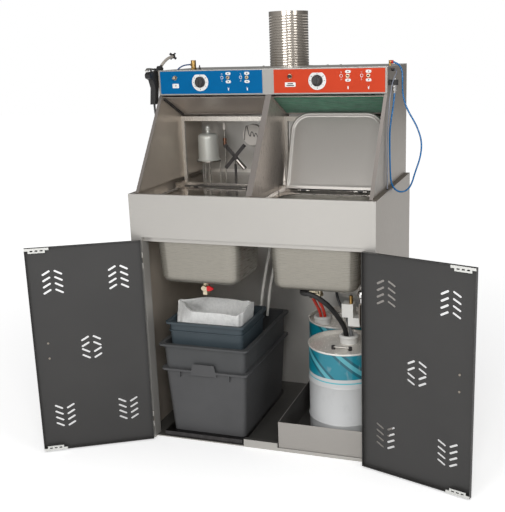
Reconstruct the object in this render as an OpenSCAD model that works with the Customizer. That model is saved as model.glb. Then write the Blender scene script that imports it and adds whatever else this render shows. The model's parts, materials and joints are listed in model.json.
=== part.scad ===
// Twin-bay washing station for spray guns and small parts: a stainless cabinet with two doors,
// two deep-drawn basins, a hood with a control panel, and a water bay beside a solvent bay.
// X runs to the right, Y to the back and Z up, with the origin on the floor under the cabinet.

/* [Cabinet] */
// Width of the cabinet over both sides
body_w = 900; // [880:5:940]
// Depth of the cabinet from front sheet to back sheet
body_d = 640; // [620:5:700]
// Height of the deck rim above the floor
deck_z = 943; // [925:1:970]
// Height of the apron above the door opening
apron_h = 157; // [145:1:170]
// Width of the post beside each door
post_w = 43; // [38:1:50]
// Thickness of the sheet steel
sheet_t = 2; // [1.5:0.5:3]
// Depth of the fold behind each post
jamb_d = 46; // [40:1:60]
// Thickness of the floor sheet
floor_t = 4; // [3:0.5:5]
// Depth of the deck plate below the rim
deck_drop = 43; // [38:1:50]

/* [Doors] */
// Gap between a door and what is around it
door_gap = 2; // [1.5:0.5:4]
// Depth of the flange around a door
door_flange = 14; // [10:1:18]
// Height of the door above the floor
door_foot = 6; // [5:1:12]
// Gap above a door
door_head = 8; // [6:1:12]
// Angle of the left door from closed, as it stands
left_open = 150; // [120:1:165]
// Angle of the right door from closed, as it stands
right_open = 162; // [120:1:165]
// Distance of the hinges from the bottom and top edges of a door
hinge_inset = 76; // [60:1:110]
// Diameter of a door hinge pin
hinge_pin_d = 4; // [3:0.5:5]
// Sideways distance of the outer chevron groups from the middle of a door
chevron_x = 115; // [100:1:125]
// Upright distance of the outer chevron groups from the middle of a door
chevron_z = 256; // [200:1:280]
// Length of one chevron slot
slot_l = 32; // [26:1:36]
// Width of one chevron slot
slot_w = 7; // [5:0.5:9]
// Upright spacing of the slots
slot_pitch = 23; // [20:1:26]
// Spacing of the screws of a door handle
handle_span = 58; // [50:1:80]

/* [Hood] */
// Width of the ledge beside the hood
ledge_w = 16; // [12:1:24]
// Height of the hood above the deck rim
hood_h = 420; // [400:1:450]
// Setback of the hood sides at the deck rim
hood_front = 28; // [26:1:40]
// Setback of the control panel face
panel_y = 267; // [255:1:280]
// Height of the control panel
panel_h = 91; // [86:1:100]
// Depth of the control panel housing
panel_d = 55; // [45:1:65]
// Width of the front edge of the divider
divider_w = 22; // [18:1:30]
// Outside diameter of the exhaust duct
duct_d = 150; // [120:1:160]
// Height of the exhaust duct above the hood
duct_h = 204; // [150:1:260]
// Distance of the duct from the back of the hood
duct_back = 115; // [100:1:130]
// Spacing of the duct's corrugations
duct_pitch = 10; // [8:1:14]
// Thickness of the filter mat
mat_t = 12; // [8:1:20]

/* [Lids] */
// Width of a lid
lid_w = 360; // [330:1:370]
// Length of a lid from its hinge
lid_l = 298; // [280:1:299]
// Corner radius of a lid
lid_r = 52; // [30:1:70]
// Height of the raised border of a lid
lid_border = 8; // [6:1:9]
// Width of the raised border of a lid
lid_border_w = 14; // [10:1:20]
// Angle by which a closed lid leans back
lid_lean = 21; // [18:1:22]
// Setback of the lid hinges
lid_y = 318; // [316:1:322]
// Upright gap between a closed lid and the ceiling of its bay
lid_head = 5.6; // [5:0.2:10]

/* [Controls] */
// Width of the bare border at the outer end of a coloured panel plate
plate_margin = 6; // [4:1:12]
// Height of a coloured panel plate
plate_h = 82; // [76:1:84]
// Gap between the two plates
plate_gap = 44; // [40:1:60]
// Diameter of a dial
dial_d = 65; // [55:1:70]
// Diameter of a timer knob
knob_d = 40; // [30:1:46]
// Height of a timer knob
knob_h = 18; // [14:1:22]
// Length of a toggle lever in front of its nut
toggle_l = 11; // [8:1:16]
// Diameter of a push button
button_d = 12; // [10:1:16]

/* [Basins] */
// Width of a basin at its rim
basin_w = 345; // [325:1:350]
// Length of a basin at its rim
basin_l = 282; // [270:1:290]
// Depth of a basin below the deck plate
basin_h = 293; // [270:1:300]
// Corner radius of a basin at its rim
basin_r = 60; // [40:1:70]
// Radius between floor and walls of a basin
basin_floor_r = 45; // [30:1:55]
// How far each wall draws in towards the floor
basin_draft = 20; // [10:1:30]
// Setback of the middle of a basin
basin_y = 172; // [170:1:174]
// Bore of the drain
drain_d = 26; // [20:1:30]
// Setback of the drain
drain_y = 122; // [115:1:130]

/* [Tubs] */
// Sideways place of the middle of the tubs
tub_x = 203; // [195:1:205]
// Width of a tub over its rim
tub_w = 346; // [330:1:350]
// Length of a tub over its rim
tub_l = 502; // [480:1:510]
// Height of the lower tub
tub_h = 258; // [240:1:270]
// Height of the upper tub
upper_tub_h = 96; // [90:1:104]
// Wall of the tubs
tub_wall = 3; // [2:0.5:4]
// Width of the rim of a tub
tub_rim = 12; // [9:1:14]
// Setback of the front of the tubs
tub_y = 20; // [18:1:28]
// Width of the filter tray over its rim
tray_w = 316; // [300:1:318]
// Length of the filter tray over its rim
tray_l = 270; // [240:1:300]
// Height of the filter tray
tray_h = 172; // [150:1:176]
// Height of the filter bag above the rim of its tray
bag_rise = 50; // [40:1:68]
// Length of the filter bag
bag_l = 176; // [140:1:200]

/* [Drums] */
// Diameter of a solvent drum
drum_d = 270; // [255:1:272]
// Height of a solvent drum
drum_h = 388; // [360:1:396]
// Diameter of a drum's neck ring
neck_d = 72; // [68:1:76]
// Height of the spill tray
spill_h = 110; // [90:1:120]

/* [Fits] */
// Running gap between pieces that turn or slide
run_gap = 0.4; // [0.3:0.1:0.6]

/* [Hidden] */
$fn = 48;
eps = 0.02;
front_y = -body_d / 2;
back_y = body_d / 2;
side_x = body_w / 2;
inner_x = side_x - sheet_t;
open_x = side_x - post_w;
open_z = deck_z - apron_h;
rim_lip = 10;
deck_top = deck_z - deck_drop + sheet_t;
hood_x = side_x - ledge_w;
hood_in = hood_x - sheet_t;
hood_top = deck_z + hood_h;
panel_z = hood_top - panel_h;
divider_t = 2;
bay_x = (hood_x + divider_t) / 2;
slope = atan2(panel_y - hood_front, panel_z - deck_z);
slope_l = norm([panel_y - hood_front, panel_z - deck_z]);
cap_n = 24;

// Lids
lid_sheet = 2;
lid_z = deck_top + lid_border + lid_sheet + 5;
lid_down = 90 + lid_lean;

// Ceiling of the bays: a plane that falls to the back from under the panel
ceiling_y0 = panel_y + 18;
ceiling_z0 = panel_z - 10;
ceiling_run = 170;
lid_depth = lid_sheet + lid_border;
lid_tip = [lid_y - lid_depth * cos(lid_lean) + lid_l * sin(lid_lean),
    lid_z + lid_depth * sin(lid_lean) + lid_l * cos(lid_lean)];
ceiling_fall = ceiling_run * (ceiling_z0 - lid_tip[1] - lid_head) / (lid_tip[0] - ceiling_y0);
ceiling_a = atan2(ceiling_fall, ceiling_run);
ceiling_l = norm([ceiling_run, ceiling_fall]);
ceiling_border = 6;
seal_w = 10;
seal_t = 6;

// Wash chamber behind each lid
chamber_y = 440;
chamber_t = 12;
chamber_floor = deck_top + 28;
chamber_top = ceiling_z0 - ceiling_fall - 8;
channel_h = 18;
cup_side = 128;

// Control layout, from the middle of a plate
plate_t = 1.5;
plate_z = panel_z + 5 + plate_h / 2;
plate_w = hood_in - plate_margin - plate_gap / 2;
plate_x = (plate_gap + plate_w) / 2;
button_at = [-140, 17];
dial_at = [-40, 1];
toggle_at = [[71, 16], [144, 16]];
dial_t = 1;
shaft_d = 6;
toggle_bore = 6.4;
toggle_nut_d = 13;
nut_h = 5;
button_stem_d = 7;
button_travel = 4;

// Doors, in the closed position
axis_x = open_x + 1;
axis_out = 4;
knuckle_r = 4;
leaf_t = 2;
leaf_w = 24;
knuckle_h = 20;
hinge_half = 30;
door_t = sheet_t;
door_in = open_x - door_gap;
door_w = door_in - door_gap;
door_z1 = open_z - door_head;
door_h = door_z1 - door_foot;
door_mid_x = door_in - door_w / 2;
door_mid_z = door_foot + door_h / 2;
hinge_zs = [door_foot + hinge_inset, door_z1 - hinge_inset];
handle_edge = 50;
handle_out = 28;
handle_r = 4;
catch_l = 84;
catch_h = 9;
catch_tab = 58;
catch_tab_h = 9;
catch_t = 2;

// Floor of the cabinet
tub_taper = 30;
floor_top = floor_t;
sill_y = door_flange + catch_t + 1;
sill_h = 30;
sill_x = [5 - tub_x + (tub_w - 2 * tub_rim - tub_taper) / 2, 80];

// Tubs on their sled
sled_z = floor_top + run_gap;
sled_h = 18;
sled_w = tub_w - 30;
sled_shift = -15;
tub_z = sled_z + sled_h;
tub_r = 18;
tub_body_w = tub_w - 2 * tub_rim;
tub_body_l = tub_l - 2 * tub_rim;
upper_z = tub_z + tub_h;
tub_rim_t = 3;
tub_lip = 8;
tub_lip_t = 2.5;
tray_z = upper_z + tub_wall;
tray_top = tray_z + tray_h;
tray_rim = 11;
tray_front = tub_y + 22;
bag_top = tray_top + bag_rise;
bag_gap = 4;

// Drain valves end above the bag so that the tubs slide out under them
basin_z = deck_top - sheet_t - basin_h;
drain_gap = 10;
valve_l = 56;
valve_z0 = max(basin_z - valve_l, bag_top + drain_gap);
valve_d = 30;
lever_z = (valve_z0 + basin_z) / 2;
lever_l = 40;
stem_d = 9;
stem_out = valve_d / 2 + 5;
solvent_stem = -24;

// Drums in the spill tray
spill_x = [84, inner_x - 8];
spill_y = [sill_y + 3, body_d - 40];
drum_r = drum_d / 2;
drum_z = floor_top + sheet_t;
drum_top = drum_z + drum_h;
drum_gap = 1;
front_drum_at = [spill_x[1] - sheet_t - drum_gap - drum_r, front_y + spill_y[0] + sheet_t + 5 * drum_gap + drum_r];
rear_drum_at = [spill_x[0] + sheet_t + drum_gap + drum_r, front_y + spill_y[1] - sheet_t - 25 * drum_gap - drum_r];
front_neck = [6, 34];
rear_neck = [-66, -50];
chime = 14;
neck_h = 31;
neck_ring = 14;
front_strap = -50;
rear_strap = 46;
strap_l = 62;
strap_w = 14;

// Pump on the right side wall
pump_at = [315, front_y + 166];
pump_z = 520;

// Quick coupling on the right of the hood
tool_at = [19, 295, -91];
tool_d = 12;

// Blow gun on the left of the hood: points are the distance behind the front sheet and the height above
// the hood top
gun_out = 18;
gun_x = -hood_x - gun_out;
gun_t = 20;
gun_outline = [[212, -13], [222, -4], [286, -1], [306, 5], [318, 16], [331, 7], [322, -11], [298, -29], [286, -45],
    [270, -123], [242, -123], [252, -63], [238, -33], [214, -25]];
gun_nose = [322, 8];
gun_tip = [436, 48];
gun_pivot = [262, 5];
nozzle_d = 11;
nozzle_bow = 16;
ear_t = 2.5;
pivot_d = 2.6;

// Hoses on the hood: points are the distance out from the hood side, the distance behind the front
// sheet and the height above the hood top
blue_r = 3;
blue_route = [[2, 360, 13], [12, 360, 13], [24, 356, -5], [28, 350, -60], [32, 345, -104], [56, 338, -152],
    [92, 329, -206], [113, 322, -263], [104, 315, -320], [76, 311, -388], [42, 301, -432], [24, 290, -400],
    [11, 266, -301], [10, 264, -210], [19, 295, -106], [19, 295, -91]];
stub_r = 2.5;
stub_route = [[-103, 336, 18], [-88, 336, 18], [-66, 331, 15], [-54, 326, 6], [-54, 326, 0]];
grey_r = 2;
grey_route = [[10, 340, -13], [18, 340, -13], [23, 318, -22], [17, 274, -44], [9, 258, -112], [6, 242, -230],
    [7, 234, -390], [7, 234, -418]];
gun_hose_r = 4;
gun_hose_route = [[18, 256, -123], [18, 256, -141], [18, 260, -172], [16, 284, -206], [13, 330, -216],
    [11, 374, -194], [10, 398, -173], [10, 414, -173]];

// Hoses in the cabinet: points are X, the distance behind the front sheet and the share of the way up from
// the low end to the high end
grommet_h = 8;
hose_top = deck_top - sheet_t - grommet_h;
neck_z = drum_top - chime - 2;
red_r = 6;
red_route_a = [[150, 388, 0], [149, 387, 0.08], [134, 383, 0.14], [100, 371, 0.28], [80, 366, 0.42], [80, 366, 0.7],
    [80, 366, 1]];
red_route_b = [[166, 388, 0], [165, 389, 0.08], [134, 394, 0.2], [97, 394, 0.31], [84, 394, 0.45], [84, 394, 0.7],
    [84, 394, 1]];
black_r = 9;
black_z = basin_z - black_r - 6;
elbow_x = 186;
elbow_r = 22;
black_route = [[186, 78, 1], [194, 78, 1], [216, 78, 0.97], [244, 84, 0.88], [266, 101, 0.75], [281, 128, 0.58],
    [292, 161, 0.4], [298, 182, 0.27], [300, 191, 0.16], [300, 191, 0]];
pump_hose_r = 7;
pump_hose_route = [[308, 178, 1], [308, 178, 0.9], [308, 181, 0.74], [315, 193, 0.5], [319, 197, 0.3],
    [319, 197, 0]];
feed_r = 5;
feed_z = pump_z - 14;
feed_route = [[294, 188, 0], [282, 188, 0], [262, 208, 0.13], [240, 262, 0.24], [228, 320, 0.36], [226, 334, 0.62],
    [226, 334, 1]];
clear_r = 6;
clear_z = upper_z + upper_tub_h + 18;
clear_route_a = [[-14, 330, 1], [-14, 330, 0.8], [-36, 322, 0.56], [-72, 334, 0.24], [-97, 360, 0]];
clear_route_b = [[10, 350, 1], [10, 350, 0.8], [-12, 346, 0.56], [-52, 362, 0.24], [-74, 382, 0]];

steel = [0.72, 0.70, 0.67];
dark = [0.27, 0.27, 0.27];
brass = [0.72, 0.55, 0.25];

// Places and shared shapes

function fy(d) = front_y + d;
function on_hood(side, p) = [side * (hood_x + p[0]), fy(p[1]), hood_top + p[2]];
function upright_way(low, high, p) = [p[0], fy(p[1]), low + (high - low) * p[2]];

module box(x, y, z) {
    translate([x[0], y[0], z[0]]) cube([x[1] - x[0], y[1] - y[0], z[1] - z[0]]);
}

module both_sides() {
    children();
    mirror([1, 0, 0]) children();
}

// Plate of a given outline in Y and Z, standing across X from x0 for a thickness t
module upright(x0, t) {
    translate([x0, 0, 0]) rotate([90, 0, 90]) linear_extrude(t) children();
}

// Round bar along +Y from a point
module bar_y(at, d, l) {
    translate(at) rotate([-90, 0, 0]) cylinder(d = d, h = l);
}

// Round bar along +X from a point
module bar_x(at, d, l) {
    translate(at) rotate([0, 90, 0]) cylinder(d = d, h = l);
}

// Round bar between two points
module rod(a, b, d) {
    v = b - a;
    translate(a) rotate([0, acos(v[2] / norm(v)), atan2(v[1], v[0])]) cylinder(d = d, h = norm(v));
}

// Flat rectangle with round corners, centred
module rounded(w, l, r) {
    square([w - 2 * r, l], center = true);
    square([w, l - 2 * r], center = true);
    for (x = [-1, 1], y = [-1, 1]) translate([x * (w / 2 - r), y * (l / 2 - r)]) circle(r);
}

// Solid that tapers between two rounded rectangles given as [width, length, height]
module tapered(low, high, r) {
    hull() {
        translate([0, 0, low[2]]) linear_extrude(eps) rounded(low[0], low[1], r, $fn = cap_n);
        translate([0, 0, high[2] - eps]) linear_extrude(eps) rounded(high[0], high[1], r, $fn = cap_n);
    }
}

function unit(v) = v / norm(v);
function heading(p, i) = unit(p[min(i + 1, len(p) - 1)] - p[max(i - 1, 0)]);
function ring(p, i, r, n, side) =
    let (t = heading(p, i), a = unit(cross(t, side)), b = cross(t, a))
    [for (k = [0 : n - 1]) p[i] + r * (cos(360 * k / n) * a + sin(360 * k / n) * b)];

// Plain tube along a route, closed at both ends
module tube(route, r, n, side) {
    m = len(route);
    points = [for (i = [0 : m - 1]) each ring(route, i, r, n, side)];
    walls = [for (i = [0 : m - 2], k = [0 : n - 1])
        [i * n + k, (i + 1) * n + k, (i + 1) * n + (k + 1) % n, i * n + (k + 1) % n]];
    start = [for (k = [0 : n - 1]) k];
    end = [for (k = [n - 1 : -1 : 0]) (m - 1) * n + k];
    polyhedron(points, concat([start], walls, [end]));
}

// Cabinet

module side_panel() {
    color(steel) {
        box([-side_x, -inner_x], [front_y + sheet_t, back_y], [0, deck_z]);
        box([-inner_x, -hood_in], [front_y + rim_lip + sheet_t, back_y - sheet_t],
            [deck_z - sheet_t, deck_z]);
    }
}

module left_side() {
    side_panel();
}

module right_side() {
    mirror([1, 0, 0]) side_panel();
}

module back_panel() {
    color(steel) box([-inner_x, inner_x], [back_y - sheet_t, back_y], [0, deck_z]);
}

// Apron and both posts folded from one sheet, with a stop behind the heads of the doors
module front_frame() {
    stop_y = door_flange + 4;
    stop_z = door_head + 10;
    color(steel) {
        box([-side_x, side_x], [front_y, fy(sheet_t)], [open_z, deck_z]);
        box([-inner_x, inner_x], [fy(sheet_t), fy(sheet_t + rim_lip)], [deck_z - sheet_t, deck_z]);
        box([-open_x - sheet_t, open_x + sheet_t], [fy(sheet_t), fy(stop_y + sheet_t)], [open_z, open_z + sheet_t]);
        box([-open_x, open_x], [fy(stop_y), fy(stop_y + sheet_t)], [open_z - stop_z, open_z]);
        both_sides() {
            box([-side_x, -open_x], [front_y, fy(sheet_t)], [0, open_z]);
            box([-open_x - sheet_t, -open_x], [fy(sheet_t), fy(jamb_d)], [0, open_z]);
            box([-open_x - 12, -open_x], [fy(jamb_d), fy(jamb_d + sheet_t)], [0, open_z]);
        }
    }
}

// Floor sheet with a raised sill in the middle and a low lip in front of the spill tray
module floor_pan() {
    lip_h = 13;
    color(steel) {
        box([-inner_x, inner_x], [fy(jamb_d + 2 * sheet_t), back_y - sheet_t], [0, floor_top]);
        box([-open_x + 1, open_x - 1], [fy(sill_y), fy(jamb_d + 2 * sheet_t)], [0, floor_top]);
        box(sill_x, [fy(sill_y), fy(sill_y + sheet_t)], [0, sill_h]);
        box(sill_x, [fy(sill_y), fy(sill_y + 18)], [sill_h - sheet_t, sill_h]);
        box([sill_x[1], open_x - 1], [fy(sill_y), fy(sill_y + sheet_t)], [0, lip_h]);
    }
}

// Deck plate with a mouth for each basin, a hinge rail behind it and the floor of each wash chamber
module deck_plate() {
    rail_y = [lid_y + 8, lid_y + 8 + sheet_t];
    raise_y = lid_y + 30;
    color(steel) difference() {
        union() {
            box([-inner_x, inner_x], [fy(sheet_t), back_y - sheet_t], [deck_top - sheet_t, deck_top]);
            both_sides() {
                box([bay_x - lid_w / 2, bay_x + lid_w / 2], [fy(rail_y[0]), fy(rail_y[1])], [deck_top, lid_z]);
                box([divider_t / 2 + 1, hood_in - 2], [fy(raise_y), fy(raise_y + sheet_t)],
                    [deck_top, chamber_floor]);
                box([divider_t / 2 + 1, hood_in - 2], [fy(raise_y), back_y - 2 * sheet_t],
                    [chamber_floor - sheet_t, chamber_floor]);
                for (x = [-1, 1]) translate([bay_x + x * lid_w * 0.3, fy(lid_y), lid_z]) {
                    bar_x([-24, 0, 0], 8, 14);
                    bar_x([10, 0, 0], 8, 14);
                    bar_x([-24, 0, 0], hinge_pin_d, 48);
                    for (k = [-24, 10]) box([k, k + 14], [0, 9], [-1.5, 0]);
                }
            }
        }
        both_sides() translate([bay_x, fy(basin_y), deck_top - 2 * sheet_t]) linear_extrude(3 * sheet_t)
            rounded(basin_w + 1, basin_l + 1, basin_r);
    }
}

// Inside or outside form of a deep-drawn basin, grown inwards by an inset
module basin_form(inset, top) {
    fr = basin_floor_r;
    hull() {
        translate([0, 0, top - eps]) linear_extrude(eps)
            rounded(basin_w - 2 * inset, basin_l - 2 * inset, basin_r - inset, $fn = 32);
        for (x = [-1, 1], y = [-1, 1])
            translate([x * (basin_w / 2 - basin_draft - fr), y * (basin_l / 2 - basin_draft - fr), basin_z + fr])
                sphere(fr - inset, $fn = 32);
    }
}

module basin(side) {
    flange = 10;
    color(steel) translate([side * bay_x, fy(basin_y), 0]) difference() {
        union() {
            basin_form(0, deck_top);
            translate([0, 0, deck_top]) linear_extrude(sheet_t)
                rounded(basin_w + 2 * flange, basin_l + 2 * flange, basin_r + flange);
        }
        basin_form(sheet_t, deck_top + sheet_t + 1);
        translate([0, drain_y - basin_y, basin_z - 1]) cylinder(d = drain_d, h = basin_floor_r);
    }
}

module water_basin() {
    basin(-1);
}

module solvent_basin() {
    basin(1);
}

// Hood

// Fold along the sloping front edge, from x for a width w
module slope_fold(x, w) {
    translate([x, fy(hood_front), deck_z]) rotate([-slope, 0, 0]) cube([w, sheet_t, slope_l]);
}

module hood_side() {
    fold_w = 10;
    color(steel) {
        upright(-hood_x, sheet_t) polygon([[fy(hood_front), deck_z], [fy(panel_y), panel_z],
            [fy(panel_y), hood_top - sheet_t], [back_y, hood_top - sheet_t], [back_y, deck_z]]);
        intersection() {
            slope_fold(-hood_in, fold_w);
            box([-hood_in, -hood_in + fold_w], [front_y, fy(panel_y)], [deck_z, panel_z - sheet_t]);
        }
    }
}

module hood_left() {
    hood_side();
}

module hood_right() {
    mirror([1, 0, 0]) hood_side();
}

// Top and back of the hood with the collar that carries the duct
module hood_shell() {
    collar_h = 24;
    collar_w = 16;
    duct_y = back_y - duct_back;
    bore = duct_d - 2 * (run_gap + 4 * sheet_t);
    color(steel) difference() {
        union() {
            box([-hood_x, hood_x], [fy(panel_y), back_y], [hood_top - sheet_t, hood_top]);
            box([-hood_in, hood_in], [back_y - sheet_t, back_y], [deck_z, hood_top - sheet_t]);
            translate([0, duct_y, hood_top]) {
                cylinder(d = duct_d + 2 * collar_w, h = sheet_t);
                cylinder(d = bore + 2 * sheet_t, h = collar_h);
            }
        }
        translate([0, duct_y, hood_top - 2 * sheet_t]) cylinder(d = bore, h = collar_h + 4 * sheet_t);
    }
}

// Plate between the bays with a folded front edge
module divider() {
    foot_z = deck_top + 7;
    foot_y = hood_front - (deck_z - foot_z) * tan(slope);
    plate = [[foot_y + sheet_t + 1, foot_z], [hood_front + sheet_t, deck_z], [panel_y + sheet_t, panel_z],
        [panel_y + 60, panel_z], [panel_y + 242, panel_z - 70], [chamber_y - 46, foot_z]];
    color(steel) {
        upright(-divider_t / 2, divider_t) polygon([for (p = plate) [fy(p[0]), p[1]]]);
        intersection() {
            slope_fold(-divider_w / 2, divider_w);
            box([-divider_w / 2, divider_w / 2], [front_y, fy(panel_y + sheet_t)], [deck_z, panel_z]);
        }
    }
}

// Holes in the panel for the controls of one plate, given the middle of the plate
module control_holes(side) {
    translate([side * plate_x, fy(panel_y) - 3, plate_z]) {
        bar_y([button_at[0], 0, button_at[1]], button_stem_d + 2 * run_gap, 8);
        bar_y([dial_at[0], 0, dial_at[1]], shaft_d + 2 * run_gap, 8);
        for (t = toggle_at) bar_y([t[0], 0, t[1]], toggle_bore, 8);
    }
}

module panel_housing() {
    color(steel) difference() {
        union() {
            box([-hood_in, hood_in], [fy(panel_y), fy(panel_y + sheet_t)], [panel_z, hood_top - sheet_t]);
            box([-hood_in, hood_in], [fy(panel_y), fy(panel_y + panel_d)], [panel_z, panel_z + sheet_t]);
            box([-hood_in, hood_in], [fy(panel_y + panel_d - sheet_t), fy(panel_y + panel_d)],
                [panel_z, hood_top - sheet_t]);
        }
        for (side = [-1, 1]) control_holes(side);
    }
}

// Coloured plate with a round white dial whose top is cut flat
module plate(side, tint) {
    x = side * plate_x;
    difference() {
        union() {
            color(tint) box([x - plate_w / 2, x + plate_w / 2], [fy(panel_y - plate_t), fy(panel_y)],
                [plate_z - plate_h / 2, plate_z + plate_h / 2]);
            color("white") intersection() {
                bar_y([x + dial_at[0], fy(panel_y - plate_t - dial_t), plate_z + dial_at[1]], dial_d, dial_t);
                box([x - plate_w / 2, x + plate_w / 2], [fy(panel_y - 5), fy(panel_y)],
                    [plate_z - plate_h / 2, plate_z + dial_at[1] + dial_d * 0.42]);
            }
        }
        control_holes(side);
    }
}

module blue_plate() {
    plate(-1, [0.0, 0.40, 0.65]);
}

module red_plate() {
    plate(1, [0.90, 0.28, 0.17]);
}

// Threaded nuts that hold the toggles and the push buttons
module panel_nuts() {
    face = fy(panel_y - plate_t - nut_h);
    color(brass) for (side = [-1, 1]) translate([side * plate_x, face, plate_z]) {
        for (t = toggle_at) difference() {
            bar_y([t[0], 0, t[1]], toggle_nut_d, nut_h);
            bar_y([t[0], -1, t[1]], toggle_bore, nut_h + 2);
        }
        difference() {
            bar_y([button_at[0], 0, button_at[1]], button_d + 4, nut_h);
            bar_y([button_at[0], -1, button_at[1]], button_stem_d + 2 * run_gap, nut_h + 2);
        }
    }
}

module timer(side) {
    grip = 3;
    color([0.13, 0.13, 0.13])
        translate([side * plate_x + dial_at[0], fy(panel_y - plate_t - dial_t) - run_gap, plate_z + dial_at[1]]) {
            rotate([90, 0, 0]) rotate_extrude() polygon([[0, 0], [knob_d / 2, 0], [knob_d / 2, 4],
                [knob_d / 2 - 3, 5], [knob_d / 2 - 5, knob_h - 2], [knob_d / 2 - 7, knob_h], [0, knob_h]]);
            box([-grip / 2, grip / 2], [-knob_h - 3, -knob_h], [-knob_d / 2 + 8, knob_d / 2 - 8]);
            bar_y([0, 0, 0], shaft_d, 12);
        }
}

module water_timer() {
    timer(-1);
}

module solvent_timer() {
    timer(1);
}

// Toggle lever on a ball and a cross pin that sit in its nut
module toggle(side, i, tint) {
    at = [side * plate_x + toggle_at[i][0], fy(panel_y - plate_t - nut_h / 2), plate_z + toggle_at[i][1]];
    color(tint) translate(at) {
        sphere(d = toggle_bore - 2 * run_gap);
        bar_x([-toggle_bore / 2 + run_gap / 2, 0, 0], 1.6, toggle_bore - run_gap);
        rotate([90, 0, 0]) cylinder(d1 = 3, d2 = 5, h = nut_h / 2 + toggle_l);
        translate([0, -nut_h / 2 - toggle_l, 0]) sphere(d = 5);
    }
}

module water_toggle_1() {
    toggle(-1, 0, brass);
}

module water_toggle_2() {
    toggle(-1, 1, brass);
}

module solvent_toggle_1() {
    toggle(1, 0, dark);
}

module solvent_toggle_2() {
    toggle(1, 1, dark);
}

module button(side, tint) {
    at = [side * plate_x + button_at[0], fy(panel_y - plate_t - nut_h), plate_z + button_at[1]];
    head_h = 7;
    color(tint) translate(at) {
        bar_y([0, -button_travel - 1, 0], button_stem_d, button_travel + 1 + nut_h + plate_t + 6);
        translate([0, -button_travel - 1, 0]) rotate([90, 0, 0]) rotate_extrude() polygon([[0, 0],
            [button_d / 2, 0], [button_d / 2, head_h - 2], [button_d / 2 - 2, head_h], [0, head_h]]);
    }
}

module water_button() {
    button(-1, brass);
}

module solvent_button() {
    button(1, [0.1, 0.1, 0.1]);
}

// Slab in the plane of the ceiling: across x, along the fall and through the thickness
module on_ceiling(x, along, thick) {
    translate([0, fy(ceiling_y0), ceiling_z0]) rotate([-ceiling_a, 0, 0]) box(x, along, thick);
}

// Closed ceiling over the water bay and an open frame over the solvent bay
module ceiling_frame() {
    x0 = divider_t / 2;
    color(steel) {
        on_ceiling([-hood_in, -x0], [0, ceiling_l], [0, sheet_t]);
        difference() {
            on_ceiling([x0, hood_in], [0, ceiling_l], [0, sheet_t]);
            on_ceiling([x0 + ceiling_border, hood_in - ceiling_border],
                [ceiling_border, ceiling_l - ceiling_border], [-1, sheet_t + 1]);
        }
    }
}

module filter_mat() {
    x0 = divider_t / 2 + 1;
    color([0.20, 0.42, 0.34]) on_ceiling([x0, hood_in - 1], [1.3 * (mat_t + sheet_t), ceiling_l - 1],
        [sheet_t, sheet_t + mat_t]);
}

// Rubber strip along the outer and rear edges of the water bay's ceiling
module ceiling_seal() {
    color([0.12, 0.13, 0.13]) {
        on_ceiling([-hood_in, -hood_in + seal_w], [8, ceiling_l], [-seal_t, 0]);
        on_ceiling([-hood_in + seal_w, -divider_t / 2], [ceiling_l - 7, ceiling_l], [-seal_t / 2, 0]);
    }
}

// Posts and top channel around the mouth of each wash chamber
module chamber_frames() {
    x0 = divider_t / 2;
    y = [fy(chamber_y), fy(chamber_y + chamber_t)];
    color(steel) both_sides() {
        box([hood_in - chamber_t, hood_in], y, [chamber_floor, chamber_top]);
        box([x0, x0 + chamber_t], y, [chamber_floor, chamber_top]);
        box([x0 + chamber_t, hood_in - chamber_t], y, [chamber_top - channel_h, chamber_top]);
    }
}

// Corrugated duct with a smooth cuff at its open end
module exhaust_duct() {
    rib = 2;
    wall = 1;
    cuff = 14;
    r = duct_d / 2;
    n = floor((duct_h - cuff) / duct_pitch);
    z0 = hood_top + sheet_t;
    z1 = hood_top + duct_h;
    outer = [for (i = [0 : n - 1], s = [0, 1, 2, 3])
        [r - (s == 0 || s == 3 ? rib : 0), z0 + (i + [0.1, 0.35, 0.65, 0.9][s]) * duct_pitch]];
    inner = [for (i = [len(outer) - 1 : -1 : 0]) outer[i] - [wall, 0]];
    color(steel) translate([0, back_y - duct_back, 0]) rotate_extrude(convexity = 8)
        polygon(concat([[r - rib, z0]], outer, [[r - rib, z1], [r - rib - wall, z1]], inner,
            [[r - rib - wall, z0]]));
}

// Crossed gun holder, nozzle pipes and cup stand inside the water chamber
module wash_rack() {
    y = fy(chamber_y + 62);
    cup = [-bay_x - cup_side, y];
    cross_at = [-bay_x - 14, y, chamber_floor + 84];
    arm = 128;
    pipe_x = -bay_x - 64;
    color(dark) {
        for (a = [-42, 42]) translate(cross_at) rotate([0, a, 0]) box([-7, 7], [-2, 2], [-arm / 2, arm / 2]);
        for (a = [-42, 42]) translate(cross_at) rotate([0, a, 0]) bar_y([0, -9, arm / 2 - 8], 12, 18);
        translate([cross_at[0], y, chamber_floor]) cylinder(d = 3, h = cross_at[2] - chamber_floor);
        translate([cross_at[0], y, chamber_floor]) cylinder(d = 10, h = cross_at[2] - chamber_floor - 30);
    }
    color(steel) {
        rod([cup[0], y, chamber_floor], [cup[0], y, chamber_floor + 130], 9);
        for (a = [30 : 120 : 270])
            translate([cup[0] + 44 * cos(a), y + 44 * sin(a), chamber_floor]) cylinder(d = 5, h = 66);
        translate([cup[0], y, chamber_floor + 64]) difference() {
            cylinder(d = 98, h = 5);
            translate([0, 0, -1]) cylinder(d = 76, h = 7);
        }
        translate([-bay_x + 22, back_y - 2 * sheet_t - 20, chamber_floor + 158]) bar_y([0, 0, 0], 86, 22);
        rod([pipe_x, y + 20, chamber_floor], [pipe_x, y + 20, chamber_floor + 190], 7);
        translate(cross_at) rotate([0, -42, 0]) translate([0, -9, -arm / 2]) cylinder(d = 17, h = 48);
    }
    color(brass) rod([pipe_x, y + 20, chamber_floor + 190], [pipe_x, y + 20, chamber_floor + 216], 11);
}

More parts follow.
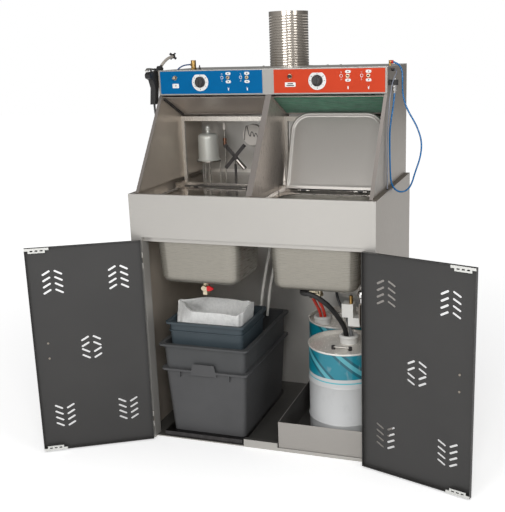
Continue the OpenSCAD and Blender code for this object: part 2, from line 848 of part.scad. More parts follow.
// Upturned cup on its stand
module wash_cup() {
    z0 = chamber_floor + 69;
    r = 45;
    h = 94;
    neck_r = 11;
    color([0.80, 0.80, 0.78]) translate([-bay_x - cup_side, fy(chamber_y + 62), z0]) rotate_extrude() polygon([[r - 2, 0],
        [r + 3, 0], [r + 3, 5], [r, 5], [r, h], [r - 3, h + 8], [r - 10, h + 16], [r - 22, h + 23],
        [neck_r, h + 27], [neck_r, h + 32], [neck_r + 2, h + 32], [neck_r + 2, h + 40], [neck_r - 2, h + 45],
        [0, h + 45], [0, h + 23], [r - 23, h + 20], [r - 12, h + 13], [r - 5, h + 6], [r - 2, h - 1]]);
}

// Ball valve under each basin: the water valve drops straight down, the solvent valve turns to the left
module drain_valves() {
    y = fy(drain_y);
    branch = bay_x - elbow_x;
    color([0.75, 0.72, 0.66]) {
        translate([-bay_x, y, 0]) {
            difference() {
                union() {
                    translate([0, 0, valve_z0]) cylinder(d = valve_d - 4, h = basin_z - valve_z0);
                    translate([0, 0, valve_z0]) cylinder(d = valve_d + 2, h = 15, $fn = 6);
                    translate([0, 0, lever_z - 9]) cylinder(d = valve_d, h = 18);
                    translate([0, 0, basin_z - 12]) cylinder(d = valve_d + 2, h = 12, $fn = 6);
                    translate([0, 0, basin_z - 3]) cylinder(d = valve_d + 8, h = 3);
                    bar_y([0, -stem_out, lever_z], stem_d + 6, stem_out);
                }
                translate([0, 0, valve_z0 - 1]) cylinder(d = drain_d - 10, h = basin_z - valve_z0 + 2);
            }
            bar_y([0, -stem_out - 8, lever_z], stem_d, 8);
        }
        translate([bay_x, y, 0]) {
            difference() {
                union() {
                    translate([0, 0, black_z - 16]) cylinder(d = valve_d - 4, h = basin_z - black_z + 16);
                    translate([0, 0, black_z - 18]) cylinder(d = valve_d + 2, h = 10, $fn = 6);
                    translate([0, 0, basin_z - 3]) cylinder(d = valve_d + 8, h = 3);
                }
                translate([0, 0, black_z]) cylinder(d = drain_d - 10, h = basin_z - black_z + 1);
            }
            bar_x([-branch, 0, black_z], 2 * black_r + 4, branch - 8);
            translate([solvent_stem, 0, black_z - 29]) cylinder(d = stem_d, h = 29);
        }
    }
    // Rubber elbow that turns the solvent outlet back to the front
    color(dark) translate([elbow_x, y - elbow_r, black_z]) rotate([0, 0, 90])
        rotate_extrude(angle = 180) translate([elbow_r, 0]) circle(r = black_r + 1);
}

// Lever on the front of the water valve
module water_drain_lever() {
    hub = 7;
    color([0.80, 0.08, 0.10]) translate([-bay_x, fy(drain_y) - stem_out - run_gap - hub, lever_z]) difference() {
        union() {
            bar_y([0, 0, 0], stem_d + 9, hub);
            translate([0, hub - 1, 0]) rotate([90, 0, 0]) linear_extrude(hub - 2) polygon([[0, -6], [12, -6],
                [17, -10], [25, -9], [lever_l - 3, -3], [lever_l, 0], [lever_l - 3, 3], [25, 9], [17, 10], [12, 6],
                [0, 6]]);
        }
        bar_y([0, -1, 0], stem_d + 2 * run_gap, hub + 2);
    }
}

// Cross handle under the solvent valve
module solvent_drain_lever() {
    color([0.12, 0.12, 0.12]) translate([bay_x + solvent_stem, fy(drain_y), black_z - black_r - 18]) difference() {
        union() {
            cylinder(d = stem_d + 7, h = 7);
            box([-11, 11], [-4, 4], [0, 7]);
        }
        translate([0, 0, -1]) cylinder(d = stem_d + 2 * run_gap, h = 9);
    }
}

// Diaphragm pump: bracket from the side wall, white block, brass outlet and bright regulator
module pump() {
    x = pump_at[0];
    y = pump_at[1];
    arm_x = x + 42;
    color(steel) {
        box([arm_x, inner_x], [y - 18, y + 22], [pump_z + 20, pump_z + 23]);
        box([inner_x - 3, inner_x], [y - 18, y + 22], [pump_z - 70, pump_z + 20]);
        box([arm_x, arm_x + 3], [y - 18, y + 22], [pump_z - 62, pump_z + 20]);
    }
    color([0.86, 0.86, 0.84]) {
        box([x - 21, x + 21], [y - 18, y + 26], [pump_z - 30, pump_z + 20]);
        box([x + 2, arm_x], [y - 18, y + 26], [pump_z - 62, pump_z - 30]);
    }
    color(brass) translate([x + 11, y - 6, pump_z + 20]) cylinder(d = 13, h = 30);
    color(steel) translate([arm_x + 8, y - 4, pump_z + 23]) rotate_extrude() polygon([[0, 0], [8, 0], [8, 18],
        [15, 24], [17, 34], [14, 44], [8, 48], [0, 48]]);
}

// Outline of the spill tray, drawn in by an inset: narrower where it passes between the posts
module spill_outline(inset) {
    x = [spill_x[0] + inset, spill_x[1] - inset];
    y = [fy(spill_y[0] + inset), fy(spill_y[1] - inset)];
    neck = [open_x - 3 - inset, fy(jamb_d + 2 * sheet_t + 2 + inset)];
    polygon([[x[0], y[0]], [neck[0], y[0]], [neck[0], neck[1]], [x[1], neck[1]], [x[1], y[1]], [x[0], y[1]]]);
}

// Tray that stands on the floor sheet and holds both drums
module spill_tray() {
    color(steel) translate([0, 0, floor_top]) difference() {
        linear_extrude(spill_h) spill_outline(0);
        translate([0, 0, sheet_t]) linear_extrude(spill_h) spill_outline(sheet_t);
    }
}

// Steel drum with a chime, two rolled hoops, a recessed lid and a plastic neck ring
module drum(at, neck, strap, tint) {
    r = drum_r - 3;
    lid = drum_h - chime;
    hoops = [drum_h * 0.30, drum_h * 0.66];
    wall = 1.5;
    hole = neck_d - 2 * neck_ring + 2;
    translate([at[0], at[1], drum_z]) {
        color(tint) difference() {
            rotate_extrude() polygon(concat([[0, 5], [r - 8, 5], [r - 6, 0], [r, 0], [r, 8]],
                [for (h = hoops, s = [0, 1, 2]) [r + [0, 3, 0][s], h + [-6, 0, 6][s]]],
                [[r, drum_h - 8], [r + 3, drum_h - 5], [r + 3, drum_h], [r - 3, drum_h], [r - 4, lid], [0, lid]]));
            translate([0, 0, 5 + wall]) cylinder(r = r - wall, h = lid - 5 - 2 * wall);
            translate([neck[0], neck[1], lid - 10]) cylinder(d = hole, h = 20);
        }
        color("white") translate([neck[0], neck[1], lid]) difference() {
            union() {
                cylinder(d = neck_d - 8, h = neck_h - neck_ring / 2);
                translate([0, 0, neck_h - neck_ring / 2]) rotate_extrude() translate([neck_d / 2 - neck_ring / 2, 0])
                    circle(d = neck_ring);
            }
            translate([0, 0, -1]) cylinder(d = hole, h = neck_h + 2);
        }
        color(steel) translate([0, strap, lid]) {
            for (s = [-1, 1]) translate([s * strap_l / 2, 0, 0]) cylinder(d = strap_w, h = 13);
            box([-strap_l / 2, strap_l / 2], [-strap_w / 2 + 1, strap_w / 2 - 1], [9, 12]);
        }
    }
}

module front_drum() {
    drum(front_drum_at, front_neck, front_strap, [0.85, 0.87, 0.87]);
}

module rear_drum() {
    drum(rear_drum_at, rear_neck, rear_strap, [0.85, 0.87, 0.87]);
}

// Brass valve, pointed post, elbow, bulkheads and grommets where the hoses start and end
module air_fittings() {
    elbow = on_hood(1, blue_route[0]);
    valve = on_hood(-1, [-115, 336, 0]);
    color(brass) {
        translate(valve) {
            cylinder(d = 24, h = 6, $fn = 6);
            cylinder(d = 19, h = 34);
            bar_x([-12, 0, 18], 9, 12);
        }
        translate([hood_x - 10, elbow[1], hood_top]) cylinder(d = 9, h = 19);
    }
    color([0.65, 0.15, 0.15]) bar_x([hood_x - 10, elbow[1], elbow[2]], 12, 12);
    color(dark) {
        translate(on_hood(-1, [-142, 330, 0])) cylinder(d1 = 9, d2 = 3, h = 16);
        bar_x(on_hood(1, grey_route[0]) - [10, 0, 0], 10, 10);
        translate([hood_x + 7, fy(234), deck_z]) cylinder(d = 9, h = 2);
        translate(on_hood(-1, gun_hose_route[len(gun_hose_route) - 1])) box([-6, 10], [0, 14], [-8, 8]);
        for (r = [red_route_a, red_route_b, feed_route])
            translate([r[len(r) - 1][0], fy(r[len(r) - 1][1]), hose_top]) cylinder(d = 16, h = grommet_h);
    }
}

// Black clip on the right of the hood and the hook that carries the blow gun on the left
module tool_clips() {
    hold = on_hood(1, tool_at);
    color([0.12, 0.12, 0.12]) {
        difference() {
            union() {
                box([hood_x, hold[0]], [hold[1] - 8, hold[1] + 8], [hold[2] + 27, hold[2] + 45]);
                translate(hold + [0, 0, 27]) cylinder(d = 26, h = 18);
            }
            translate(hold) cylinder(d = tool_d + 1, h = 60);
        }
        box([gun_x + gun_t / 2, -hood_x], [fy(276), fy(300)], [hood_top - 25, hood_top - 7]);
    }
}

// Bright quick coupling held in the clip
module air_tool() {
    color([0.8, 0.8, 0.8]) translate(on_hood(1, tool_at)) {
        cylinder(d = 9, h = 8);
        translate([0, 0, 8]) cylinder(d = 16, h = 19);
        translate([0, 0, 27]) cylinder(d = tool_d, h = 24);
    }
}

// Blow gun: moulded body with ears for its lever, nozzle tube and star tip
module blow_gun() {
    d = gun_tip - gun_nose;
    tip = on_hood(-1, [gun_out, gun_tip[0], gun_tip[1]]);
    ear = [[gun_pivot[0] - 5, -4], [gun_pivot[0] + 5, -4], [gun_pivot[0] + 4, gun_pivot[1] + 4],
        [gun_pivot[0] - 4, gun_pivot[1] + 4]];
    color([0.13, 0.13, 0.13]) {
        upright(gun_x - gun_t / 2, gun_t) polygon([for (p = gun_outline) [fy(p[0]), hood_top + p[1]]]);
        for (x = [gun_x - gun_t / 2, gun_x + gun_t / 2 - ear_t])
            upright(x, ear_t) polygon([for (p = ear) [fy(p[0]), hood_top + p[1]]]);
        bar_x([gun_x - gun_t / 2, fy(gun_pivot[0]), hood_top + gun_pivot[1]], pivot_d, gun_t);
        translate(tip) rotate([-atan2(d[0], d[1]), 0, 0]) {
            cylinder(d = 16, h = 10);
            for (a = [45, 135]) rotate([0, 0, a]) box([-16, 16], [-3, 3], [1, 9]);
        }
    }
    color([0.6, 0.6, 0.6]) translate(on_hood(-1, [gun_out, gun_nose[0], gun_nose[1]])) gun_nozzle(norm(d), d);
}

// Nozzle tube that bows upwards along its chord
module gun_nozzle(chord, d) {
    bow_r = chord / (2 * sin(nozzle_bow));
    rotate([-atan2(d[0], d[1]), 0, 0]) translate([0, bow_r * cos(nozzle_bow), chord / 2])
        rotate([90, 0, -90]) rotate([0, 0, -nozzle_bow]) rotate_extrude(angle = 2 * nozzle_bow)
            translate([bow_r, 0]) circle(d = nozzle_d);
}

// Thumb lever on top of the blow gun
module gun_lever() {
    w = gun_t - 2 * ear_t - 2 * run_gap;
    arm = [[gun_pivot[0], gun_pivot[1] - 2], [gun_pivot[0], gun_pivot[1] + 3], [226, 11], [210, 3], [212, -1],
        [228, 6]];
    color([0.75, 0.75, 0.73]) difference() {
        union() {
            bar_x([gun_x - w / 2, fy(gun_pivot[0]), hood_top + gun_pivot[1]], 7, w);
            upright(gun_x - w / 2, w) polygon([for (p = arm) [fy(p[0]), hood_top + p[1]]]);
        }
        bar_x([gun_x - gun_t / 2, fy(gun_pivot[0]), hood_top + gun_pivot[1]], pivot_d + 2 * run_gap, gun_t);
    }
}

// Doors

// Fixed hinge leaves, knuckles and pins on the posts
module door_hinges() {
    gap = 0.5;
    color(steel) both_sides() for (z = hinge_zs) translate([-axis_x, front_y, z]) {
        difference() {
            box([-leaf_w, 0], [-leaf_t, 0], [-hinge_half, hinge_half]);
            box([-knuckle_r - gap, 1], [-leaf_t - 1, 1], [-knuckle_h / 2, knuckle_h / 2]);
        }
        for (s = [-hinge_half, knuckle_h / 2]) translate([0, -axis_out, s])
            cylinder(r = knuckle_r, h = hinge_half - knuckle_h / 2);
        translate([0, -axis_out, -hinge_half]) cylinder(d = hinge_pin_d, h = 2 * hinge_half);
    }
}

// Domed screw head that stands on a surface, along +Z
module screw_head(d) {
    rotate_extrude($fn = 24)
        polygon([[0, 0], [d / 2, 0], [d / 2 - 0.4, d * 0.18], [d / 4, d * 0.32], [0, d * 0.36]]);
}

// Screws of the fixed hinge leaves and of the hood's top sheet
module screws() {
    color(steel) {
        both_sides() for (z = hinge_zs, s = [-1, 1])
            translate([-axis_x - leaf_w + 8, front_y - leaf_t, z + s * 17]) rotate([90, 0, 0]) screw_head(8);
        for (x = [-139, 127, 180]) translate([x, back_y - 24, hood_top]) screw_head(9);
    }
}

// One slanted slot, centred
module slot() {
    square([slot_l - slot_w, slot_w], center = true);
    for (x = [-1, 1]) translate([x * (slot_l - slot_w) / 2, 0]) circle(d = slot_w);
}

// Rows of slot pairs; each direction is 1 for a row that points up and -1 for one that points down
module chevrons(directions) {
    lean = 29;
    half = 21;
    for (i = [0 : len(directions) - 1], s = [-1, 1])
        translate([s * half, (1.5 - i) * slot_pitch]) rotate(-s * directions[i] * lean) slot();
}

// Left door as it hangs when closed: a folded pan with five slot groups, hinge leaves, handle and catches
module closed_door() {
    x = [-door_in, -door_in + door_w];
    z = [door_foot, door_z1];
    up = [1, 1, 1, 1];
    color(dark) difference() {
        union() {
            box(x, [front_y, fy(door_t)], z);
            for (e = [x[0], x[1] - door_t]) box([e, e + door_t], [fy(door_t), fy(door_flange)], z);
            for (e = [z[0], z[1] - door_t]) box(x, [fy(door_t), fy(door_flange)], [e, e + door_t]);
        }
        translate([-door_mid_x, front_y - 1, door_mid_z]) rotate([90, 0, 0]) mirror([0, 0, 1])
            linear_extrude(door_t + 2) {
                for (s = [-1, 1]) {
                    translate([s * chevron_x, chevron_z]) chevrons(up);
                    translate([s * chevron_x, -chevron_z]) chevrons(-up);
                }
                chevrons([1, 1, -1, -1]);
            }
    }
    color(steel) for (h = hinge_zs) translate([-axis_x, front_y, h]) difference() {
        k = knuckle_h / 2 - 0.5;
        union() {
            translate([0, -axis_out, -k]) cylinder(r = knuckle_r, h = 2 * k);
            box([0, leaf_w], [-leaf_t, 0], [-k, k]);
        }
        translate([0, -axis_out, -k - 1]) cylinder(d = hinge_pin_d + 2 * run_gap, h = 2 * k + 2);
    }
    // Bow handle on the outside
    color(steel) translate([x[1] - handle_edge, front_y, door_mid_z]) {
        for (s = [-1, 1]) translate([0, -handle_out, s * handle_span / 2]) {
            bar_y([0, 0, 0], 2 * handle_r, handle_out);
            bar_y([0, handle_out, 0], 2 * handle_r, door_t + 2);
            sphere(handle_r);
        }
        translate([0, -handle_out, -handle_span / 2]) cylinder(r = handle_r, h = handle_span);
    }
    // Catch plates across the outer corners
    color("white") for (s = [-1, 1]) {
        edge = s > 0 ? z[1] : z[0];
        tab = catch_tab / 2;
        translate([x[1] - catch_l / 2, fy(door_flange), edge]) difference() {
            union() {
                box([-catch_l / 2, catch_l / 2], [0, catch_t], s > 0 ? [-catch_h, 0] : [0, catch_h]);
                box([-tab, tab], [0, catch_t],
                    s > 0 ? [-catch_h - catch_tab_h, -catch_h] : [catch_h, catch_h + catch_tab_h]);
            }
            for (k = [-1, 0, 1]) translate([k * 17, -1, -s * (catch_h + 1)])
                box([-5, 5], [0, catch_t + 2], [-2.5, 2.5]);
        }
    }
}

// Turns a closed left door about its hinge
module opened(angle) {
    translate([-axis_x, front_y - axis_out, 0]) rotate([0, 0, -angle]) translate([axis_x, axis_out - front_y, 0])
        closed_door();
}

module left_door() {
    opened(left_open);
}

module right_door() {
    mirror([1, 0, 0]) opened(right_open);
}

// Lids

// Lid along +Z from its hinge: polished sheet with a raised border on the outer, front face
module lid_shape() {
    k = 9.5;
    rise = 7;
    translate([0, -lid_sheet, 0]) {
        rotate([-90, 0, 0]) mirror([0, 1, 0]) linear_extrude(lid_sheet) lid_outline(0);
        translate([0, -lid_border, 0]) rotate([-90, 0, 0]) mirror([0, 1, 0]) linear_extrude(lid_border)
            difference() {
                lid_outline(0);
                translate([0, -1]) lid_outline(lid_border_w);
            }
    }
    for (x = [-1, 1]) translate([x * lid_w * 0.3, 0, 0]) difference() {
        union() {
            bar_x([-k, 0, 0], 8, 2 * k);
            box([-k, k], [-lid_sheet, 0], [0, rise]);
        }
        bar_x([-k - 1, 0, 0], hinge_pin_d + 2 * run_gap, 2 * k + 2);
    }
}

// Outline of a lid with round free corners, drawn in by an inset
module lid_outline(inset) {
    w = lid_w / 2 - inset;
    r = lid_r - inset;
    top = lid_l - inset;
    base = 6;
    translate([-w, base]) square([2 * w, top - r - base]);
    translate([-w + r, base]) square([2 * (w - r), top - base]);
    for (s = [-1, 1]) translate([s * (w - r), top - r]) circle(r);
}

module lid(side, turn) {
    color(steel) translate([side * bay_x, fy(lid_y), lid_z]) rotate([turn - lid_lean, 0, 0]) lid_shape();
}

module water_lid() {
    lid(-1, lid_down);
}

module solvent_lid() {
    lid(1, 0);
}

// Tubs

module on_tubs() {
    translate([-tub_x, fy(tub_y + tub_l / 2), 0]) children();
}

module tub_sled() {
    lip = 3;
    color(dark) on_tubs() translate([sled_shift, 0, 0]) {
        box([-sled_w / 2, sled_w / 2], [-tub_l / 2 + 10, tub_l / 2 - 10], [sled_z + sled_h - lip, sled_z + sled_h]);
        for (s = [-1, 1]) box([s * (sled_w / 2 - 12) - 12, s * (sled_w / 2 - 12) + 12],
            [-tub_l / 2 + 10, tub_l / 2 - 10], [sled_z, sled_z + sled_h - lip]);
        box([-sled_w / 2, sled_w / 2], [-tub_l / 2 + 4, -tub_l / 2 + 10], [sled_z, sled_z + sled_h]);
    }
}

// Open container that tapers to its foot, with a flat rim whose edge is turned down
module container(w, l, z0, h, taper, rim) {
    z1 = z0 + h;
    difference() {
        union() {
            tapered([w - taper, l - taper, z0], [w, l, z1], tub_r);
            translate([0, 0, z1 - tub_rim_t]) linear_extrude(tub_rim_t) rounded(w + 2 * rim, l + 2 * rim, tub_r);
            translate([0, 0, z1 - tub_lip]) linear_extrude(tub_lip) difference() {
                rounded(w + 2 * rim, l + 2 * rim, tub_r);
                rounded(w + 2 * (rim - tub_lip_t), l + 2 * (rim - tub_lip_t), tub_r - tub_lip_t);
            }
        }
        tapered([w - taper - 2 * tub_wall, l - taper - 2 * tub_wall, z0 + tub_wall],
            [w - 2 * tub_wall, l - 2 * tub_wall, z1 + 1], tub_r - tub_wall);
    }
}

module lower_tub() {
    tab_w = 104;
    tab_h = 44;
    color([0.30, 0.30, 0.31]) on_tubs() {
        container(tub_body_w, tub_body_l, tub_z, tub_h, tub_taper, tub_rim);
        // Hand tab in front of the rim and two ribs under it
        translate([0, -tub_l / 2 + 4, upper_z - 18]) rotate([90, 0, 0]) linear_extrude(4)
            polygon([[-tab_w / 2, 0], [tab_w / 2, 0], [tab_w / 2 - 9, tab_h], [9 - tab_w / 2, tab_h]]);
        for (x = [-102, 96])
            box([x, x + 6], [-tub_l / 2 + 2, -tub_l / 2 + tub_rim + 2], [upper_z - 32, upper_z - tub_rim_t]);
    }
}

module upper_tub() {
    color([0.27, 0.27, 0.28]) on_tubs()
        container(tub_body_w + 4, tub_body_l + 4, upper_z, upper_tub_h, 8, tub_rim + 2);
}

// Blue-grey tray that stands in the front half of the upper tub, with a step around its side
module filter_tray() {
    w = tray_w - 2 * tray_rim;
    l = tray_l - 2 * tray_rim;
    step_z = tray_top - 38;
    color([0.26, 0.32, 0.37]) translate([-tub_x, fy(tray_front + tray_l / 2), 0]) {
        container(w, l, tray_z, tray_h, 12, tray_rim);
        translate([0, 0, step_z]) linear_extrude(4) difference() {
            rounded(w + 6, l + 6, tub_r);
            rounded(w - 4, l - 4, tub_r);
        }
    }
}

// Soft felt bag, open at the top
module filter_bag() {
    wall = 8;
    w = tray_w - 2 * tray_rim - 2 * tub_wall - 14 - 2 * bag_gap;
    y = tray_front + tray_rim + tub_wall + 7 + bag_gap + bag_l / 2;
    z0 = tray_z + tub_wall + 0.3;
    color([0.93, 0.93, 0.92]) translate([-tub_x, fy(y), 0]) difference() {
        tapered([w - 6, bag_l - 6, z0], [w + 14, bag_l + 8, bag_top], tub_r);
        tapered([w - 6 - 2 * wall, bag_l - 6 - 2 * wall, z0 + wall],
            [w + 14 - 2 * wall, bag_l + 8 - 2 * wall, bag_top + 1], tub_r - wall);
    }
}

// Hoses

module blue_hose() {
    color([0.05, 0.35, 0.60]) {
        tube([for (p = blue_route) on_hood(1, p)], blue_r, 8, [0, 1, 0]);
        tube([for (p = stub_route) on_hood(-1, p)], stub_r, 8, [0, 1, 0]);
    }
}

module grey_hose() {
    color([0.5, 0.52, 0.55]) tube([for (p = grey_route) on_hood(1, p)], grey_r, 8, [0, 1, 0]);
}

module gun_hose() {
    color([0.2, 0.2, 0.2]) tube([for (p = gun_hose_route) on_hood(-1, p)], gun_hose_r, 8, [1, 0, 0]);
}

module red_hoses() {
    color([0.75, 0.18, 0.12]) for (r = [red_route_a, red_route_b])
        tube([for (p = r) upright_way(neck_z, hose_top, p)], red_r, 8, [0, 1, 0]);
}

// Black drain hose and grey suction hose into the neck of the front drum, and the pump's delivery hose
module drum_hoses() {
    color([0.1, 0.1, 0.1])
        tube([for (p = black_route) upright_way(neck_z, black_z, p)], black_r, 10, [0.2, 1, 0.6]);
    color([0.35, 0.35, 0.35])
        tube([for (p = pump_hose_route) upright_way(neck_z, pump_z - 30, p)], pump_hose_r, 8, [1, 0, 0]);
    color([0.25, 0.25, 0.25])
        tube([for (p = feed_route) upright_way(feed_z, hose_top, p)], feed_r, 8, [0, 1, 0.3]);
}

module clear_hoses() {
    color([0.8, 0.8, 0.76]) for (r = [clear_route_a, clear_route_b])
        tube([for (p = r) upright_way(clear_z, deck_top - sheet_t, p)], clear_r, 8, [0, 1, 0]);
}

left_side();
right_side();
back_panel();
floor_pan();
front_frame();
deck_plate();
water_basin();
solvent_basin();
hood_left();
hood_right();
hood_shell();
divider();
panel_housing();
blue_plate();
red_plate();
panel_nuts();
ceiling_frame();
filter_mat();
ceiling_seal();
chamber_frames();
exhaust_duct();
wash_rack();
wash_cup();
drain_valves();
pump();
spill_tray();
front_drum();
rear_drum();
air_fittings();
tool_clips();
air_tool();
blow_gun();
door_hinges();
blue_hose();
grey_hose();
gun_hose();
red_hoses();
drum_hoses();
clear_hoses();
screws();
left_door();
right_door();
water_lid();
solvent_lid();
water_timer();
solvent_timer();
water_toggle_1();
water_toggle_2();
solvent_toggle_1();
solvent_toggle_2();
water_button();
solvent_button();
water_drain_lever();
solvent_drain_lever();
tub_sled();
lower_tub();
upper_tub();
filter_tray();
filter_bag();
gun_lever();
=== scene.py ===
# Twin-bay washing station for spray guns and small parts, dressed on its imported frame. Lengths are metres.
import json

import bmesh
import bpy
import numpy as np
from mathutils import Matrix, Vector

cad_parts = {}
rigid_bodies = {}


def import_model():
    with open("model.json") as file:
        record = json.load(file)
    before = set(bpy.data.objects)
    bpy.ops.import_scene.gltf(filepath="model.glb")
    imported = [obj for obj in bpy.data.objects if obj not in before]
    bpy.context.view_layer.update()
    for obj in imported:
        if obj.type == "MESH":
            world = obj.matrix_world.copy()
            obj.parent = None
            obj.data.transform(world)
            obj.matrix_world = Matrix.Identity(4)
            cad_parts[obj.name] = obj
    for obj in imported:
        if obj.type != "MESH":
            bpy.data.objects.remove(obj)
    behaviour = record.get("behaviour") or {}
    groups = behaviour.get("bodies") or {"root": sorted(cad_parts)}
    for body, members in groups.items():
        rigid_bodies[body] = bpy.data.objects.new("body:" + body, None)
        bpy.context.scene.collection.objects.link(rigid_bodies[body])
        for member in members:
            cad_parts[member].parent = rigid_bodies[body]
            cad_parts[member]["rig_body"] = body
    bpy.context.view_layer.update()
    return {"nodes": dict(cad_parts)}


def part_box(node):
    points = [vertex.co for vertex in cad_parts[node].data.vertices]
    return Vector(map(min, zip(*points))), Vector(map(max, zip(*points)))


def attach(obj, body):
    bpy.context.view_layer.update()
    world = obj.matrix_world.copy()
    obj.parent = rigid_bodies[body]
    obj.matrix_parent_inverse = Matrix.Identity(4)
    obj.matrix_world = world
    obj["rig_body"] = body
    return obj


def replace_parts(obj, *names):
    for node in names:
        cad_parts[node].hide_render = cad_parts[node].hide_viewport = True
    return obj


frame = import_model()


# Viewpoint
# The station is seen from the front right, from just above the height of its hood. The eye, its turns and
# its focal length come from the straight edges of the cabinet. The picture's middle lies off the lens axis.
eye = Vector((1.0075, -2.9351, 1.4402))
yaw, pitch, roll = np.radians([18.45, 14.15, -1.57])
picture_w, picture_h = 505, 512
focal_px = 833.2
axis_px = 285.0
ahead = Vector((-np.sin(yaw) * np.cos(pitch), np.cos(yaw) * np.cos(pitch), -np.sin(pitch)))
level = Vector((np.cos(yaw), np.sin(yaw), 0.0))
over = level.cross(ahead)
right = level * np.cos(roll) + over * np.sin(roll)
above = over * np.cos(roll) - level * np.sin(roll)
camera = bpy.data.objects.new("camera", bpy.data.cameras.new("camera"))
camera.data.sensor_width = 36.0
camera.data.lens = focal_px * camera.data.sensor_width / picture_h
camera.data.shift_x = (picture_w / 2 - axis_px) / picture_h
eye_rows = [(*row, place) for row, place in zip(zip(right, above, -ahead), eye)]
camera.matrix_world = Matrix(eye_rows + [(0, 0, 0, 1)])
bpy.context.scene.collection.objects.link(camera)
bpy.context.scene.camera = camera


# Studio
# A seamless pale floor under a white room, with soft lamps in front, beside the eye, far to the right and
# overhead. The floor keeps the shadow, and both floor and room look white to the eye.
def feed(tree, node, **inputs):
    """Sets a node's inputs to values or links: a name has _ for each space, and n6 is input number 6."""
    for name, value in inputs.items():
        numbered = name[0] == "n" and name[1:].isdigit()
        socket = node.inputs[int(name[1:]) if numbered else name.replace("_", " ")]
        if isinstance(value, bpy.types.NodeSocket):
            tree.links.new(value, socket)
        else:
            socket.default_value = value
    return node


def add(tree, kind, choice=None, **inputs):
    """New shader node with the property that choice gives as (name, value), and its inputs fed."""
    node = tree.nodes.new("ShaderNode" + kind)
    if choice:
        setattr(node, *choice)
    return feed(tree, node, **inputs)


def seen_directly(tree):
    """1 for a ray from the eye or from a mirror or glass, and 0 for light that falls on matt faces."""
    path = add(tree, "LightPath").outputs
    either = add(tree, "Math", ("operation", "MAXIMUM"), n0=path["Is Camera Ray"], n1=path["Is Glossy Ray"])
    return add(tree, "Math", ("operation", "MAXIMUM"), n0=either.outputs[0],
        n1=path["Is Transmission Ray"]).outputs[0]


def lamp(name, place, aim, size, watts):
    """Square area lamp of that size, turned so that its face looks at the aim."""
    light = bpy.data.lights.new(name, "AREA")
    light.size = size
    light.energy = watts
    made = bpy.data.objects.new(name, light)
    turn = (Vector(aim) - Vector(place)).to_track_quat("-Z", "Y").to_matrix().to_4x4()
    made.matrix_world = Matrix.Translation(place) @ turn
    bpy.context.scene.collection.objects.link(made)


def room_in_mirrors(tree):
    """Brightness of the room in metal: pale in front, falling off to the sides and the back."""
    way = add(tree, "TexCoord").outputs["Generated"]
    front = add(tree, "VectorMath", ("operation", "DOT_PRODUCT"), n0=way, n1=(-0.15, -0.97, 0.0))
    return add(tree, "MapRange", Value=front.outputs["Value"], n1=-0.6, n2=0.9, n3=0.22, n4=0.58).outputs[0]


room_light = 0.31
floor_half, floor_z = 14.0, -0.0005
room = bpy.data.worlds.new("room")
room.use_nodes = True
bpy.context.scene.world = room
room_tree = room.node_tree
room_path = add(room_tree, "LightPath").outputs
room_gloss = add(room_tree, "Mix", n0=room_path["Is Glossy Ray"], n2=room_light,
    n3=room_in_mirrors(room_tree))
room_glass = add(room_tree, "Math", ("operation", "MAXIMUM"), n0=room_path["Is Camera Ray"],
    n1=room_path["Is Transmission Ray"])
room_strength = add(room_tree, "Mix", n0=room_glass.outputs[0], n2=room_gloss.outputs[0], n3=1.0)
feed(room_tree, room_tree.nodes["Background"], Color=(1, 1, 1, 1), Strength=room_strength.outputs[0])
lamp("front_lamp", (-0.6, -3.6, 1.8), (0, 0, 0.75), 1.3, 34)
lamp("eye_lamp", (1.2, -3.3, 2.3), (0, 0, 0.75), 1.2, 46)
lamp("right_lamp", (3.1, -1.9, 2.1), (0, 0, 0.8), 1.1, 18)
lamp("top_lamp", (0.2, -0.6, 4.2), (0, 0, 0.9), 2.2, 16)
floor_mesh = bpy.data.meshes.new("floor")
floor_mesh.from_pydata([(x * floor_half, y * floor_half, floor_z) for x, y in
    ((-1, -1), (1, -1), (1, 1), (-1, 1))], [], [(0, 1, 2, 3)])
floor = bpy.data.objects.new("floor", floor_mesh)
floor_finish = bpy.data.materials.new("pale_floor")
floor_finish.use_nodes = True
floor_tree = floor_finish.node_tree
floor_place = add(floor_tree, "TexCoord").outputs["Object"]
floor_far = add(floor_tree, "VectorMath", ("operation", "LENGTH"), n0=floor_place).outputs["Value"]
floor_glow = add(floor_tree, "MapRange", Value=floor_far, n1=0.5, n2=3.4, n3=0.40, n4=0.76).outputs[0]
floor_seen = add(floor_tree, "Math", ("operation", "MULTIPLY"), n0=seen_directly(floor_tree), n1=floor_glow)
feed(floor_tree, floor_tree.nodes["Principled BSDF"], Base_Color=(0.88, 0.88, 0.88, 1), Roughness=0.9,
    Specular_IOR_Level=0.1, Emission_Color=(1, 1, 1, 1), Emission_Strength=floor_seen.outputs[0])
floor_mesh.materials.append(floor_finish)
bpy.context.scene.collection.objects.link(floor)
bpy.context.scene.view_settings.view_transform = "Standard"


# Cabinet sheets
# Sides, back, floor and the front frame of apron and posts: 2 mm stainless, brushed along the sheet,
# sheared, folded and spot welded. The folds are painted a little lighter along their edges: a painted
# highlight, together with polish where hands and cloths rub them.
def srgb(red, green, blue):
    """Shader colour of a colour given as 0 to 255 on a screen."""
    value = np.array([red, green, blue]) / 255
    linear = np.where(value < 0.04045, value / 12.92, ((value + 0.055) / 1.055) ** 2.4)
    return (*linear.tolist(), 1.0)


def shade(colour, share):
    """The colour made darker or lighter by a share."""
    return (*[min(part * share, 1.0) for part in colour[:3]], 1.0)


def new_finish(name):
    """New material with its node tree and its shader."""
    made = bpy.data.materials.new(name)
    made.use_nodes = True
    return made, made.node_tree, made.node_tree.nodes["Principled BSDF"]


